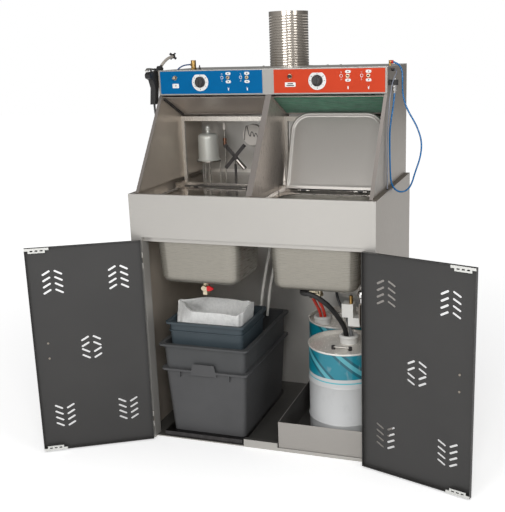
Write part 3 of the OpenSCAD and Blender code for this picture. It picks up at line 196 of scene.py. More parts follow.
def cloud(tree, scale, stretch=(1, 1, 1), detail=3.0):
    """Noise on object coordinates, drawn out along the axes whose stretch is small."""
    place = add(tree, "TexCoord").outputs["Object"]
    sized = add(tree, "Mapping", Vector=place, Scale=stretch).outputs[0]
    return add(tree, "TexNoise", Vector=sized, Scale=scale, Detail=detail).outputs[0]


def span(tree, value, low, high, start=0.3, end=0.7):
    """Carries a value between start and end to one between low and high."""
    return add(tree, "MapRange", Value=value, n1=start, n2=end, n3=low, n4=high).outputs[0]


def mixed(tree, share, first, second):
    """Colour between two colours or links by a share."""
    return add(tree, "Mix", ("data_type", "RGBA"), n0=share, n6=first, n7=second).outputs[2]


def mottled(tree, tint, scale, low, high, detail=3.0):
    """Tint that slow noise carries between a low and a high share of it."""
    share = span(tree, cloud(tree, scale, detail=detail), 0, 1)
    return mixed(tree, share, shade(tint, low), shade(tint, high))


def bumped(tree, height, strength, distance, under=None):
    """Normal that a height moves, over the face's own one or the one given."""
    node = add(tree, "Bump", Height=height, Strength=strength, Distance=distance)
    if under is not None:
        feed(tree, node, Normal=under)
    return node.outputs[0]


def rounded_normal(tree, width):
    """Normal that turns smoothly over each edge within this width."""
    node = add(tree, "Bevel", Radius=width)
    node.samples = 4
    return node.outputs[0]


def worn_edge(tree, width):
    """0 on flat faces and up to 1 at edges: how far the rounded normal leans from the face's own."""
    own = add(tree, "NewGeometry").outputs["Normal"]
    same = add(tree, "VectorMath", ("operation", "DOT_PRODUCT"), n0=rounded_normal(tree, width), n1=own)
    return span(tree, same.outputs["Value"], 1.0, 0.0, 0.75, 0.99)


def looks_at(tree, middle):
    """1 on faces that look towards a point and 0 on faces that look away from it."""
    face = add(tree, "NewGeometry").outputs
    there = add(tree, "VectorMath", ("operation", "SUBTRACT"), n0=middle, n1=face["Position"]).outputs[0]
    there = add(tree, "VectorMath", ("operation", "NORMALIZE"), n0=there).outputs[0]
    same = add(tree, "VectorMath", ("operation", "DOT_PRODUCT"), n0=there, n1=face["True Normal"])
    return span(tree, same.outputs["Value"], 0, 1, 0.08, 0.12)


def brushed_sheet(name, tint, rough, stretch, metal=0.5, inside=None, inner=0.9):
    """Sheet steel: streaks along one axis move the gloss and the bump, slow noise stains the tint, and the
    edges are painted lighter, a painted highlight with polish wear. Faces that look at the point inside show
    the inner
    share of the tint, mottled by slow noise: painted shade where that share is below 1, painted light above
    1."""
    fold_r = 0.0010
    made, tree, shader = new_finish(name)
    streaks = cloud(tree, 11.0, stretch, 4)
    stain = mottled(tree, tint, 3.0, 0.95, 1.03)
    fine = mixed(tree, span(tree, streaks, 0, 1), shade(tint, 0.96), stain)
    # Edges painted lighter: a painted highlight along the folds, with polish wear.
    bright = mixed(tree, span(tree, worn_edge(tree, fold_r), 0, 0.5, 0, 1), fine, shade(tint, 1.25))
    # Painted light and shade: faces that look inwards take the inner share of the tint, darker below 1 and
    # lighter above 1.
    if inside:
        painted_inside_lighting = mottled(tree, tint, 9.0, 0.9 * inner, inner, 6)
        bright = mixed(tree, looks_at(tree, inside), bright, painted_inside_lighting)
    feed(tree, shader, Base_Color=bright, Metallic=metal, Specular_IOR_Level=0.2,
        Roughness=span(tree, streaks, rough - 0.04, rough + 0.05),
        Normal=bumped(tree, streaks, 0.03, 0.0003, rounded_normal(tree, fold_r)))
    return made


def dress(finish, *names):
    """Gives CAD nodes a finish."""
    for name in names:
        materials = frame["nodes"][name].data.materials
        materials.clear()
        materials.append(finish)


# One brushed stainless in several tints: the upright sheets are painted darker than the level ones, a
# painted shade, and the side sheets darker still on their outside.
steel_tint, shaded_upright_tint = srgb(182, 179, 174), srgb(142, 134, 124)
level_grain, upright_grain = (3, 60, 60), (60, 60, 3)
cabinet_middle, tray_middle = (0.0, 0.02, 0.42), (0.28, 0.0, 0.07)
brushed_level = brushed_sheet("brushed_level", steel_tint, 0.34, level_grain)
shaded_brushed_upright = brushed_sheet("shaded_brushed_upright", shaded_upright_tint, 0.36, upright_grain)
dull_steel = brushed_sheet("dull_steel", srgb(158, 155, 151), 0.42, level_grain, 0.3)
# The inner shares paint the inside faces: painted shade on the floor (0.25) and in the tray (0.28), painted
# light on the back (1.4) and the sides (2.4).
back_sheet = brushed_sheet("back_sheet", steel_tint, 0.36, level_grain, 0.5, cabinet_middle, 1.4)
floor_sheet = brushed_sheet("floor_sheet", steel_tint, 0.36, level_grain, 0.5, cabinet_middle, 0.25)
side_sheet = brushed_sheet("side_sheet", srgb(138, 130, 120), 0.36, upright_grain, 0.5, cabinet_middle, 2.4)
tray_sheet = brushed_sheet("tray_sheet", srgb(164, 160, 155), 0.40, level_grain, 0.3, tray_middle, 0.28)
dress(brushed_level, "front_frame")
dress(back_sheet, "back_panel")
dress(floor_sheet, "floor_pan")
dress(side_sheet, "left_side", "right_side")
dress(tray_sheet, "spill_tray")


# Deck and basins
# The deck plate carries the hinge rails and the raised chamber floors. Under it hang two basins, each deep
# drawn from one stainless sheet, with a rim flange, drawn-in walls, a round floor edge and a drain hole.
def rounded_ring(half_w, half_l, corner, steps=12):
    """Rows of points round a rectangle with quarter arcs at its corners, anticlockwise from +X."""
    half_w, half_l, corner = (np.atleast_1d(value)[:, None] for value in (half_w, half_l, corner))
    angle = (np.arange(4)[:, None] * np.pi / 2 + np.linspace(0, np.pi / 2, steps)).ravel()
    side_x = np.repeat([1, -1, -1, 1], steps)
    side_y = np.repeat([1, 1, -1, -1], steps)
    x = side_x * (half_w - corner) + corner * np.cos(angle)
    y = side_y * (half_l - corner) + corner * np.sin(angle)
    return np.stack([x, y], -1)


def skin(name, grid, finish, body, around=True, closed=(), turn=50, wall=0.0):
    """Piece from rows of points: each row joins the next, around joins a row's ends, closed lists rows that
    get a flat face, wall gives the sheet a thickness. Edges sharper than turn degrees stay sharp."""
    rows, columns = grid.shape[:2]
    index = np.arange(rows * columns).reshape(rows, columns)
    wide = np.c_[index, index[:, :1]] if around else index
    faces = np.stack([wide[:-1, :-1], wide[:-1, 1:], wide[1:, 1:], wide[1:, :-1]], -1)
    faces = faces.reshape(-1, 4).tolist() + [index[row].tolist() for row in closed]
    mesh = bpy.data.meshes.new(name)
    mesh.from_pydata(grid.reshape(-1, 3).tolist(), [], faces)
    return seat(name, mesh, finish, body, turn, wall)


def seat(name, mesh, finish, body, turn, wall=0.0):
    """Makes a mesh a piece: merged, faces outwards, smooth below a turn, with its finish, slot and body."""
    work = bmesh.new()
    work.from_mesh(mesh)
    bmesh.ops.remove_doubles(work, verts=work.verts, dist=1e-6)
    bmesh.ops.recalc_face_normals(work, faces=work.faces)
    work.to_mesh(mesh)
    work.free()
    mesh.polygons.foreach_set("use_smooth", np.ones(len(mesh.polygons), bool))
    mesh.set_sharp_from_angle(angle=np.radians(turn))
    mesh.materials.append(finish)
    made = bpy.data.objects.new(name, mesh)
    bpy.context.scene.collection.objects.link(made)
    if wall:
        shell = made.modifiers.new("wall", "SOLIDIFY")
        shell.thickness = wall
        shell.offset = -1.0
    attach(made, body)
    return made


def drawn_basin(name, node):
    """Basin: rings from the drain circle over the flat floor, a quarter arc up to the wall, the drafted wall
    and the rim flange."""
    low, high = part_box(node)
    flange, draft, floor_r, rim_r, sheet = 0.010, 0.020, 0.028, 0.060, 0.002
    drain_r, drain_y = 0.013, -0.198
    middle = (low + high) / 2
    half = np.array([high.x - middle.x - flange, high.y - middle.y - flange])
    rim_z = high.z - sheet
    arc = np.linspace(0, np.pi / 2, 10)
    arc_in = floor_r * (1 - np.sin(arc))
    inset = np.r_[draft + arc_in, np.linspace(draft, 0, 8)[1:], -flange]
    height = np.r_[low.z + floor_r * (1 - np.cos(arc)), np.linspace(low.z + floor_r, rim_z, 8)[1:], rim_z]
    corner = np.r_[rim_r - draft - arc_in, np.linspace(rim_r - draft, rim_r, 8)[1:], rim_r + flange]
    rings = rounded_ring(half[0] - inset, half[1] - inset, corner)
    drain = np.array([0.0, drain_y - middle.y])
    out = rings[0] - drain
    circle = drain + drain_r * out / np.linalg.norm(out, axis=1, keepdims=True)
    rings = np.concatenate([circle[None], (0.4 * circle + 0.6 * rings[0])[None], rings])
    height = np.r_[low.z, low.z, height]
    grid = np.dstack([rings + [middle.x, middle.y], np.broadcast_to(height[:, None], rings.shape[:2])])
    made = skin(name, grid, shaded_drawn_steel, "cabinet", wall=sheet)
    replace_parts(made, node)


# The basins take a darker tint of the deck's steel: painted shade, for they hang under the deck.
shaded_drawn_steel = brushed_sheet("shaded_drawn_steel", srgb(146, 142, 133), 0.28, (2, 2, 90))
deck_steel = brushed_sheet("deck_steel", srgb(168, 163, 157), 0.20, (4, 50, 50), 0.9)
dress(deck_steel, "deck_plate")
for bay in ("water", "solvent"):
    drawn_basin(bay + "_basin_shell", bay + "_basin")


# Hood sheets
# Sloping sides, top and back, the folded divider between the bays, the housing behind the control plates,
# the closed ceiling and the chamber posts: the same brushed stainless, bent and screwed together.
def taken_from(node, name, chosen, finish):
    """Piece with the triangles of a CAD node whose middles are chosen, which then stands for that node."""
    sharp_turn = 35
    source = frame["nodes"][node].data
    source.calc_loop_triangles()
    points = np.empty(len(source.vertices) * 3)
    source.vertices.foreach_get("co", points)
    points = points.reshape(-1, 3)
    corners = np.empty(len(source.loop_triangles) * 3, int)
    source.loop_triangles.foreach_get("vertices", corners)
    corners = corners.reshape(-1, 3)
    corners = corners[chosen(points[corners].mean(1))]
    used, corners = np.unique(corners, return_inverse=True)
    mesh = bpy.data.meshes.new(name)
    mesh.from_pydata(points[used].tolist(), [], corners.reshape(-1, 3).tolist())
    made = seat(name, mesh, finish, frame["nodes"][node]["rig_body"], sharp_turn)
    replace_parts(made, node)


def parted(node, *pieces, rest):
    """Splits a CAD node into pieces, each given as name, mask of triangle middles, finish and a slot that is
    not used, and a last piece with the triangles that are left."""
    for name, chosen, finish, slot in pieces:
        taken_from(node, name, chosen, finish)

    def left(m):
        """The triangles that no piece has taken."""
        return ~np.any([chosen(m) for _, chosen, _, _ in pieces], axis=0)

    name, finish, slot = rest
    taken_from(node, name, left, finish)


def front_fold(m):
    """The narrow folds along the sloping front, which lie in one plane."""
    rise, back, plane, near = 0.588, 0.809, 0.7905, 0.0004
    return np.abs(rise * m[:, 2] - back * m[:, 1] - plane) < near


# The bay walls and ceiling frame take a lighter tint of the same steel: painted light. The left hood sheet
# paints its inside faces 2.1 times its outside tint, painted light to match them.
bay_middle = (-0.2, 0.0, 1.1)
lit_bay_steel = brushed_sheet("lit_bay_steel", srgb(200, 190, 181), 0.30, upright_grain)
fold_steel = brushed_sheet("fold_steel", srgb(150, 143, 138), 0.34, (40, 40, 4), 0.7)
frame_steel = brushed_sheet("frame_steel", srgb(214, 208, 200), 0.24, upright_grain)
hood_sheet = brushed_sheet("hood_sheet", shaded_upright_tint, 0.32, upright_grain, 0.5, bay_middle, 2.1)
dress(lit_bay_steel, "ceiling_frame")
dress(dull_steel, "panel_housing")
dress(brushed_level, "hood_shell", "screws", "door_hinges")
dress(frame_steel, "chamber_frames")
for sheet, finish in (("hood_left", hood_sheet), ("divider", lit_bay_steel), ("hood_right", shaded_brushed_upright)):
    parted(sheet, (sheet + "_fold", front_fold, fold_steel, "stainless"),
        rest=(sheet + "_sheet", finish, "stainless"))


# Control plates
# Two enamelled plates screwed to the housing, one blue and one red, each with a white dial under a timer
# knob, a push button, two toggles and small printed marks. The prints are thin layers that stand proud.
def enamel(name, tint):
    """Stoved enamel: an even tint with slow mottling, fine orange peel and a soft gloss."""
    made, tree, shader = new_finish(name)
    chipped = mixed(tree, worn_edge(tree, 0.0008), mottled(tree, tint, 14.0, 0.96, 1.03), shade(tint, 1.25))
    peel = cloud(tree, 900.0, detail=1.0)
    feed(tree, shader, Base_Color=chipped, Roughness=span(tree, peel, 0.48, 0.56), Specular_IOR_Level=0.06,
        Normal=bumped(tree, peel, 0.08, 0.0002))
    return made


def moulded(name, tint, rough, grain=600.0, depth=0.12, vary=0.06):
    """Moulded plastic or rubber: grain in the bump, slow tone changes, rubbed lighter edges."""
    edge_r = 0.0010
    made, tree, shader = new_finish(name)
    tone = mottled(tree, tint, 12.0, 1 - vary, 1 + vary, 4)
    rubbed = mixed(tree, worn_edge(tree, edge_r), tone, shade(tint, 1.2))
    skin_grain = cloud(tree, grain, detail=2)
    feed(tree, shader, Base_Color=rubbed, Specular_IOR_Level=0.3,
        Roughness=span(tree, skin_grain, rough - 0.06, rough + 0.08),
        Normal=bumped(tree, skin_grain, depth, 0.0005, rounded_normal(tree, edge_r)))
    return made


def small_metal(name, tint, rough):
    """Turned or cast metal: fine scratches in the gloss and darker stains in patches of slow noise."""
    made, tree, shader = new_finish(name)
    stain = mottled(tree, tint, 60.0, 0.72, 1.08, 4)
    scratch = cloud(tree, 500.0, (1, 1, 4), 2)
    feed(tree, shader, Base_Color=stain, Metallic=1.0,
        Roughness=span(tree, scratch, rough - 0.05, rough + 0.08),
        Normal=bumped(tree, scratch, 0.06, 0.0003, rounded_normal(tree, 0.0008)))
    return made


layer_t = 0.0003


def loop_outline(half_w, half_h, corner):
    """Flat outline of a rounded rectangle as one row of points."""
    return rounded_ring(half_w, half_h, min(corner, half_w, half_h), 6)[0]


def dot_outline(radius):
    """Flat outline of a small round dot."""
    return loop_outline(radius, radius, radius)


def print_layer(name, outline, at, finish, front, thick=layer_t, hole=None):
    """Thin printed layer on a panel face: an outline in X and Z at a place, or the band round a hole."""
    inner = np.zeros_like(outline) + outline.mean(0) if hole is None else hole
    back = np.full(len(outline), front)
    rows = [(inner, back - thick), (outline, back - thick), (outline, back)]
    grid = np.stack([np.c_[at[0] + ring[:, 0], y, at[1] + ring[:, 1]] for ring, y in rows])
    skin(name, grid, finish, "cabinet", turn=30)


def print_dial(bay, at, front):
    """White dial, flat along its top, with dark ticks round the knob, three of them longer."""
    dial_r, dial_t, flat_top = 0.0325, 0.0004, 0.84
    angle = np.linspace(0, 2 * np.pi, 72, endpoint=False)
    disc = dial_r * np.c_[np.cos(angle), np.sin(angle)]
    disc[:, 1] = np.minimum(disc[:, 1], flat_top * dial_r)
    print_layer(bay + "_dial", disc, at, print_white, front, dial_t)
    for k, turn in enumerate(np.radians([35, 90, 145, 180, 215, 270, 325, 0])):
        spoke = np.array([np.cos(turn), np.sin(turn)])
        reach = 0.0262 if k != 1 else 0.0240
        bar = loop_outline(0.0026 if k in (0, 2, 5) else 0.0016, 0.0009, 0.0005)
        bar = bar @ np.array([[spoke[0], spoke[1]], [-spoke[1], spoke[0]]])
        print_layer(f"{bay}_dial_tick_{k}", bar, np.array(at) + reach * spoke, print_dark, front - dial_t)


def print_toggle_marks(bay, k, x, z, mark_z, front):
    """Marks of one toggle: a pad with a dot over and under it, three signs beside it and a spray mark."""
    pad = loop_outline(0.0100, 0.0052, 0.005)
    dot = dot_outline(0.0022)
    for end, lift in (("upper", 0.0140), ("lower", -0.0150)):
        at = (x, z + lift)
        print_layer(f"{bay}_pad_{end}_{k}", pad, at, print_white, front)
        print_layer(f"{bay}_pad_dot_{end}_{k}", dot, at, print_dark, front - layer_t)
    for m, lift in enumerate((0.0125, 0.0, -0.0125)):
        at = (x - 0.0245, z + lift)
        sign = loop_outline(0.0052, 0.0060, 0.0012 if m != 1 else 0.0050)
        if m != 1:
            sign = sign * (1 - 0.75 * np.abs(sign[:, ::-1]) / np.abs(sign).max(0)[::-1])
        print_layer(f"{bay}_strip_{k}_{m}", sign, at, print_white, front, hole=sign * 0.72)
    top, waist, foot, half_top, half_foot = 0.0065, 0.0005, -0.0065, 0.0030, 0.0016
    wedge = [(-half_top, top), (0.0, waist), (half_top, top), (half_foot, foot), (-half_foot, foot)]
    print_layer(f"{bay}_spray_mark_{k}", np.array(wedge), (x, mark_z), print_white, front)


print_white = moulded("print_white", srgb(236, 236, 234), 0.45, 900.0, 0.04, 0.02)
print_dark = moulded("print_dark", srgb(52, 50, 50), 0.5, 900.0, 0.04)
blue_enamel = enamel("blue_enamel", srgb(0, 100, 157))
red_enamel = enamel("red_enamel", srgb(206, 71, 43))
brass = small_metal("brass", srgb(166, 134, 80), 0.28)
dark_metal = small_metal("dark_metal", srgb(74, 72, 72), 0.34)
black_plastic = moulded("black_plastic", srgb(44, 43, 43), 0.42)
knob_plastic = moulded("knob_plastic", srgb(58, 56, 56), 0.40)
dress(blue_enamel, "blue_plate")
dress(red_enamel, "red_plate")
dress(knob_plastic, "water_timer", "solvent_timer")
nickel = small_metal("nickel", srgb(186, 170, 148), 0.28)
dress(nickel, "water_toggle_1", "water_toggle_2", "water_button", "panel_nuts")
dress(dark_metal, "solvent_toggle_1", "solvent_toggle_2")
dress(black_plastic, "solvent_button")
dial_boss = 0.001
dial_x, dial_z = -0.040, 0.001
label_x, label_z = -0.140, -0.012
toggles_x, toggle_z, spray_z = (0.071, 0.144), 0.016, -0.0240
for bay, plate, label_half in (("water", "blue_plate", 0.013), ("solvent", "red_plate", 0.020)):
    plate_low, plate_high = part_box(plate)
    face = plate_low.y + dial_boss
    mid_x = (plate_low.x + plate_high.x) / 2
    mid_z = (plate_low.z + plate_high.z) / 2
    print_dial(bay, (mid_x + dial_x, mid_z + dial_z), plate_low.y)
    label = (mid_x + label_x, mid_z + label_z)
    print_layer(bay + "_button_label", loop_outline(label_half, 0.008, 0.003), label, print_white, face)
    if bay == "water":
        print_layer("water_label_ring", dot_outline(0.003), label, print_dark, face - layer_t,
            hole=dot_outline(0.0018))
    else:
        for k, bar_half in enumerate((0.010, 0.014)):
            bar_at = (label[0], label[1] + 0.0032 - 0.0064 * k)
            bar = loop_outline(bar_half, 0.0017, 0.0004)
            print_layer(f"solvent_label_bar_{k}", bar, bar_at, print_dark, face - layer_t)
    for k, toggle_x in enumerate(toggles_x):
        print_toggle_marks(bay, k, mid_x + toggle_x, mid_z + toggle_z, mid_z + spray_z, face)


# Ceilings of the bays
# One rubber strip seals the closed ceiling over the water bay, along its left side and its rear. Over the
# solvent bay lies a loose mat of green filter fleece, held by an open steel frame.
# The rear run of the seal is given a paler grey than its side run: painted light on one dark rubber.
dark_rubber = moulded("dark_rubber", srgb(64, 62, 61), 0.62, 300.0, 0.15)
lit_grey_rubber = moulded("lit_grey_rubber", srgb(112, 106, 101), 0.62, 300.0, 0.15)
seal_bend_y = 0.124
parted("ceiling_seal", ("seal_rear", lambda m: m[:, 1] > seal_bend_y, lit_grey_rubber, "black_rubber"),
    rest=("seal_side", dark_rubber, "black_rubber"))


def fleece(name, tint, deep):
    """Filter fleece: matted fibres as fine noise over coarse tufts, in colour and in bump."""
    made, tree, shader = new_finish(name)
    tufts = cloud(tree, 26.0, detail=6)
    fibres = cloud(tree, 420.0, (1, 0.25, 1), 3)
    tone = mixed(tree, span(tree, tufts, 0, 1), deep, tint)
    speckled = mixed(tree, span(tree, fibres, 0, 0.5), tone, shade(tint, 1.35))
    feed(tree, shader, Base_Color=speckled, Roughness=0.95, Sheen_Weight=0.25,
        Normal=bumped(tree, fibres, 0.5, 0.0015, bumped(tree, tufts, 0.5, 0.004)))
    return made


mat_low, mat_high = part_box("filter_mat")
mat_drop, mat_run = 75.07, 170.0
mat_t, mat_edge_r, mat_dent = 0.012, 0.008, 0.0008
mat_fall = -np.arctan2(mat_drop, mat_run)
mat_l = (mat_high.y - mat_low.y - mat_t * abs(np.sin(mat_fall))) / np.cos(mat_fall)
mat_w = mat_high.x - mat_low.x
mat_u, mat_v = np.meshgrid(np.linspace(0, mat_w, 100), np.linspace(0, mat_l, 50))
mat_swell = np.sin(57 * mat_u + 4 * np.sin(49 * mat_v)) * np.sin(91 * mat_v + 3 * np.sin(17 * mat_u))
mat_rim = np.minimum(np.minimum(mat_u, mat_w - mat_u), np.minimum(mat_v, mat_l - mat_v))
mat_round = np.sqrt(1 - (1 - np.clip(mat_rim / mat_edge_r, 0, 1)) ** 2)


def on_mat(height):
    """Grid of the mat at a height above its underside, laid along the fall of the ceiling."""
    y = mat_low.y + mat_v * np.cos(mat_fall) - height * np.sin(mat_fall)
    z = mat_high.z - mat_t * np.cos(mat_fall) + mat_v * np.sin(mat_fall) + height * np.cos(mat_fall)
    return np.dstack([mat_low.x + mat_u, y, z])


mat_half = (mat_t / 2 - mat_dent * (1 + mat_swell)) * mat_round
mat_grid = np.concatenate([on_mat(mat_t / 2 - mat_half), on_mat(mat_t / 2 + mat_half)[::-1]])
green_fleece = fleece("green_fleece", srgb(66, 140, 106), srgb(34, 100, 74))
mat_piece = skin("filter_fleece", mat_grid, green_fleece, "cabinet", around=False, turn=80)
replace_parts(mat_piece, "filter_mat")


# Exhaust duct
# Flexible duct of bright aluminium strip, wound and crimped into a close spiral corrugation, pushed over
# the collar on the hood and ending in a smooth cuff.
duct_low, duct_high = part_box("exhaust_duct")
duct_mid = (duct_low + duct_high) / 2
duct_r = (duct_high.x - duct_low.x) / 2
duct_pitch, duct_rib, duct_groove = 0.010, 0.0013, 0.13
duct_cuff, duct_fade, duct_strip = 0.014, 0.004, 0.0008
duct_z = np.linspace(duct_low.z, duct_high.z, 440)
duct_turn = np.linspace(0, 2 * np.pi, 96, endpoint=False)
wind = 2 * np.pi * (duct_z[:, None] - duct_low.z) / duct_pitch - duct_turn
crest = 1 - np.exp(-(np.abs((wind / (2 * np.pi)) % 1 - 0.5) / duct_groove) ** 2)
ribbed = np.clip((duct_high.z - duct_cuff - duct_z) / duct_fade, 0, 1)
ribbed = ribbed * np.clip((duct_z - duct_low.z) / duct_fade, 0, 1)
duct_out = duct_r - duct_rib * (1 - crest) * ribbed[:, None]
duct_grid = np.dstack([duct_mid.x + duct_out * np.cos(duct_turn), duct_mid.y + duct_out * np.sin(duct_turn),
    np.broadcast_to(duct_z[:, None], duct_out.shape)])
duct_metal = brushed_sheet("duct_metal", srgb(186, 178, 168), 0.16, (8, 8, 60), 1.0)
duct = skin("spiral_duct", duct_grid, duct_metal, "cabinet", turn=180, wall=duct_strip)
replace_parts(duct, "exhaust_duct")


# Wash chamber
# Inside the water chamber stand a crossed holder for a gun, a wire stand with an upturned aluminium cup and
# a nozzle pipe with a copper nut and a pale tip. A round spray disc and a bent wire hook sit on the back.
def turned(name, middle, outline, finish, body):
    """Turned piece: an outline of radius and height carried round an upright axis."""
    radius, height = np.array(outline).T
    angle = np.linspace(0, 2 * np.pi, 64, endpoint=False)
    grid = np.dstack([middle.x + radius[:, None] * np.cos(angle), middle.y + radius[:, None] * np.sin(angle),
        np.broadcast_to(middle.z + height[:, None], (len(radius), len(angle)))])
    return skin(name, grid, finish, body, turn=40)


def bent_wire(name, points, radius, finish, body):
    """Wire bent in an upright plane: a circle carried along a smooth run through its points."""
    x, z, y = np.array(points).T
    share = np.linspace(0, len(x) - 1, 12 * len(x))
    knots = np.arange(len(x))
    path = np.stack([np.interp(share, knots, column) for column in (x, y, z)], 1)
    for _ in range(24):
        path[1:-1] = (path[:-2] + 2 * path[1:-1] + path[2:]) / 4
    along = np.gradient(path, axis=0)
    along /= np.linalg.norm(along, axis=1, keepdims=True)
    across = np.cross(along, [0, 1, 0])
    angle = np.linspace(0, 2 * np.pi, 10, endpoint=False)[:, None]
    grid = path[:, None] + radius * (np.cos(angle) * across[:, None] + np.sin(angle) * np.array([0, 1, 0]))
    skin(name, grid, finish, body, closed=(0, -1), turn=60)


cup_metal = brushed_sheet("cup_metal", srgb(200, 201, 195), 0.34, (20, 20, 6), 0.25)
cup_low, cup_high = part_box("wash_cup")
cup_foot = Vector(((cup_low.x + cup_high.x) / 2, (cup_low.y + cup_high.y) / 2, cup_low.z))
shoulder = np.linspace(0, np.pi / 2, 12)
cup_shoulder = zip(0.0120 + 0.0295 * np.cos(shoulder) ** 0.6, 0.086 + 0.022 * np.sin(shoulder) ** 0.7)
cup_outline = [(0.0445, 0.0), (0.0470, 0.0), (0.0470, 0.0030), (0.0440, 0.0036), (0.0420, 0.0050),
    (0.0415, 0.086), *cup_shoulder, (0.0100, 0.1095), (0.0085, 0.1140), (0.0085, 0.1200), (0.0105, 0.1206),
    (0.0105, 0.1266), (0.0085, 0.1272), (0.0085, 0.1340), (0.0060, 0.1376), (0.0001, 0.1388)]
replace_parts(turned("spray_cup", cup_foot, cup_outline, cup_metal, "cabinet"), "wash_cup")
rack_steel = small_metal("rack_steel", srgb(160, 156, 150), 0.28)
nozzle_x, nozzle_y, nozzle_z, nozzle_r = -0.282, 0.202, 1.0565, 0.0056


def rack_arms(m):
    """The two crossed flat arms with the pegs at their upper ends, and the post that carries them."""
    cross_x, cross_half, cross_y, bar_half = -0.232, 0.0745, 0.182, 0.0055
    front_of, foot_z, top_z = 0.1915, 0.9305, 1.045
    near = (np.abs(m[:, 0] - cross_x) < cross_half) & (m[:, 1] < front_of) & (m[:, 2] > foot_z)
    return near & ((np.abs(m[:, 1] - cross_y) < bar_half) | (m[:, 2] > top_z))


def rack_tip(m):
    """The tip of the nozzle pipe, above its nut."""
    tip_z = 1.1199
    on_pipe = (np.abs(m[:, 0] - nozzle_x) < nozzle_r) & (np.abs(m[:, 1] - nozzle_y) < nozzle_r)
    return on_pipe & (m[:, 2] > tip_z)


def rack_disc(m):
    """The spray disc on the back wall."""
    wall_y = 0.295
    return m[:, 1] > wall_y


copper = small_metal("copper", srgb(150, 112, 92), 0.30)
disc_grey = moulded("disc_grey", srgb(214, 208, 201), 0.48, 350.0, 0.08, 0.05)
parted("wash_rack", ("rack_cross", rack_arms, dark_metal, "dark_metal"),
    ("rack_nozzle_tip", rack_tip, disc_grey, "dark_metal"),
    ("rack_disc", rack_disc, disc_grey, "dark_metal"),
    rest=("rack_wires", rack_steel, "dark_metal"))
nut_outline = [(0.0050, 0.0), (0.0072, 0.0), (0.0072, 0.011), (0.0060, 0.012), (0.0060, 0.017),
    (0.0076, 0.018), (0.0076, 0.029), (0.0050, 0.030)]
turned("rack_nozzle_nut", Vector((nozzle_x, nozzle_y, nozzle_z)), nut_outline, copper, "cabinet")
hook_y, hook_r = 0.2945, 0.0014
hook = [(-0.232, 1.068), (-0.230, 1.100), (-0.224, 1.126), (-0.219, 1.124), (-0.213, 1.092), (-0.206, 1.080),
    (-0.202, 1.102), (-0.195, 1.101), (-0.190, 1.078), (-0.184, 1.096), (-0.178, 1.094), (-0.174, 1.072)]
bent_wire("rack_hook", [(*knot, hook_y) for knot in hook], hook_r, black_plastic, "cabinet")


# Drain valves and pump
# Nickelled ball valves under the basins, the water one with a red lever, the solvent one with a black handle
# and a rubber elbow. The white diaphragm pump hangs from a steel bracket on the side wall, with a brass
# outlet and a regulator.
valve_metal = small_metal("valve_metal", srgb(196, 184, 160), 0.26)
hose_rubber = moulded("hose_rubber", srgb(38, 37, 37), 0.50, 250.0, 0.10)
red_plastic = moulded("red_plastic", srgb(205, 30, 36), 0.34)
pump_white = moulded("pump_white", srgb(226, 225, 220), 0.40, 350.0, 0.06, 0.03)
chrome = small_metal("chrome", srgb(222, 221, 219), 0.12)


def outlet_elbow(m):
    """The rubber elbow between the solvent valve and its hose."""
    elbow_from, elbow_to = 0.05, 0.1861
    return (m[:, 0] > elbow_from) & (m[:, 0] < elbow_to)


def lever_hub(m):
    """The metal hub of the water lever, round its turning axis."""
    hub_x, hub_z, hub_r = -0.218, 0.579, 0.011
    return np.hypot(m[:, 0] - hub_x, m[:, 2] - hub_z) < hub_r


pump_side, pump_top = 0.3569, 0.5402


def pump_block(m):
    """The white body of the pump."""
    return (m[:, 0] < pump_side) & (m[:, 2] < pump_top)


def pump_outlet(m):
    """The brass fitting on top of the pump."""
    outlet_side = 0.336
    return (m[:, 0] < outlet_side) & (m[:, 2] > pump_top)


def pump_regulator(m):
    """The bright regulator on top of the bracket."""
    regulator_from, regulator_to, regulator_z = 0.345, 0.383, 0.5431
    return (m[:, 0] > regulator_from) & (m[:, 0] < regulator_to) & (m[:, 2] > regulator_z)


parted("drain_valves", ("valve_elbow", outlet_elbow, hose_rubber, "black_hose_rubber"),
    rest=("valve_bodies", valve_metal, "valve_metal"))
parted("water_drain_lever", ("lever_hub", lever_hub, valve_metal, "valve_metal"),
    rest=("lever_wings", red_plastic, "red_plastic"))
dress(black_plastic, "solvent_drain_lever")
parted("pump", ("pump_block", pump_block, pump_white, "pump_white"),
    ("pump_outlet", pump_outlet, brass, "brass"),
    ("pump_regulator", pump_regulator, chrome, "bright_chrome"),
    rest=("pump_bracket", shaded_brushed_upright, "stainless"))


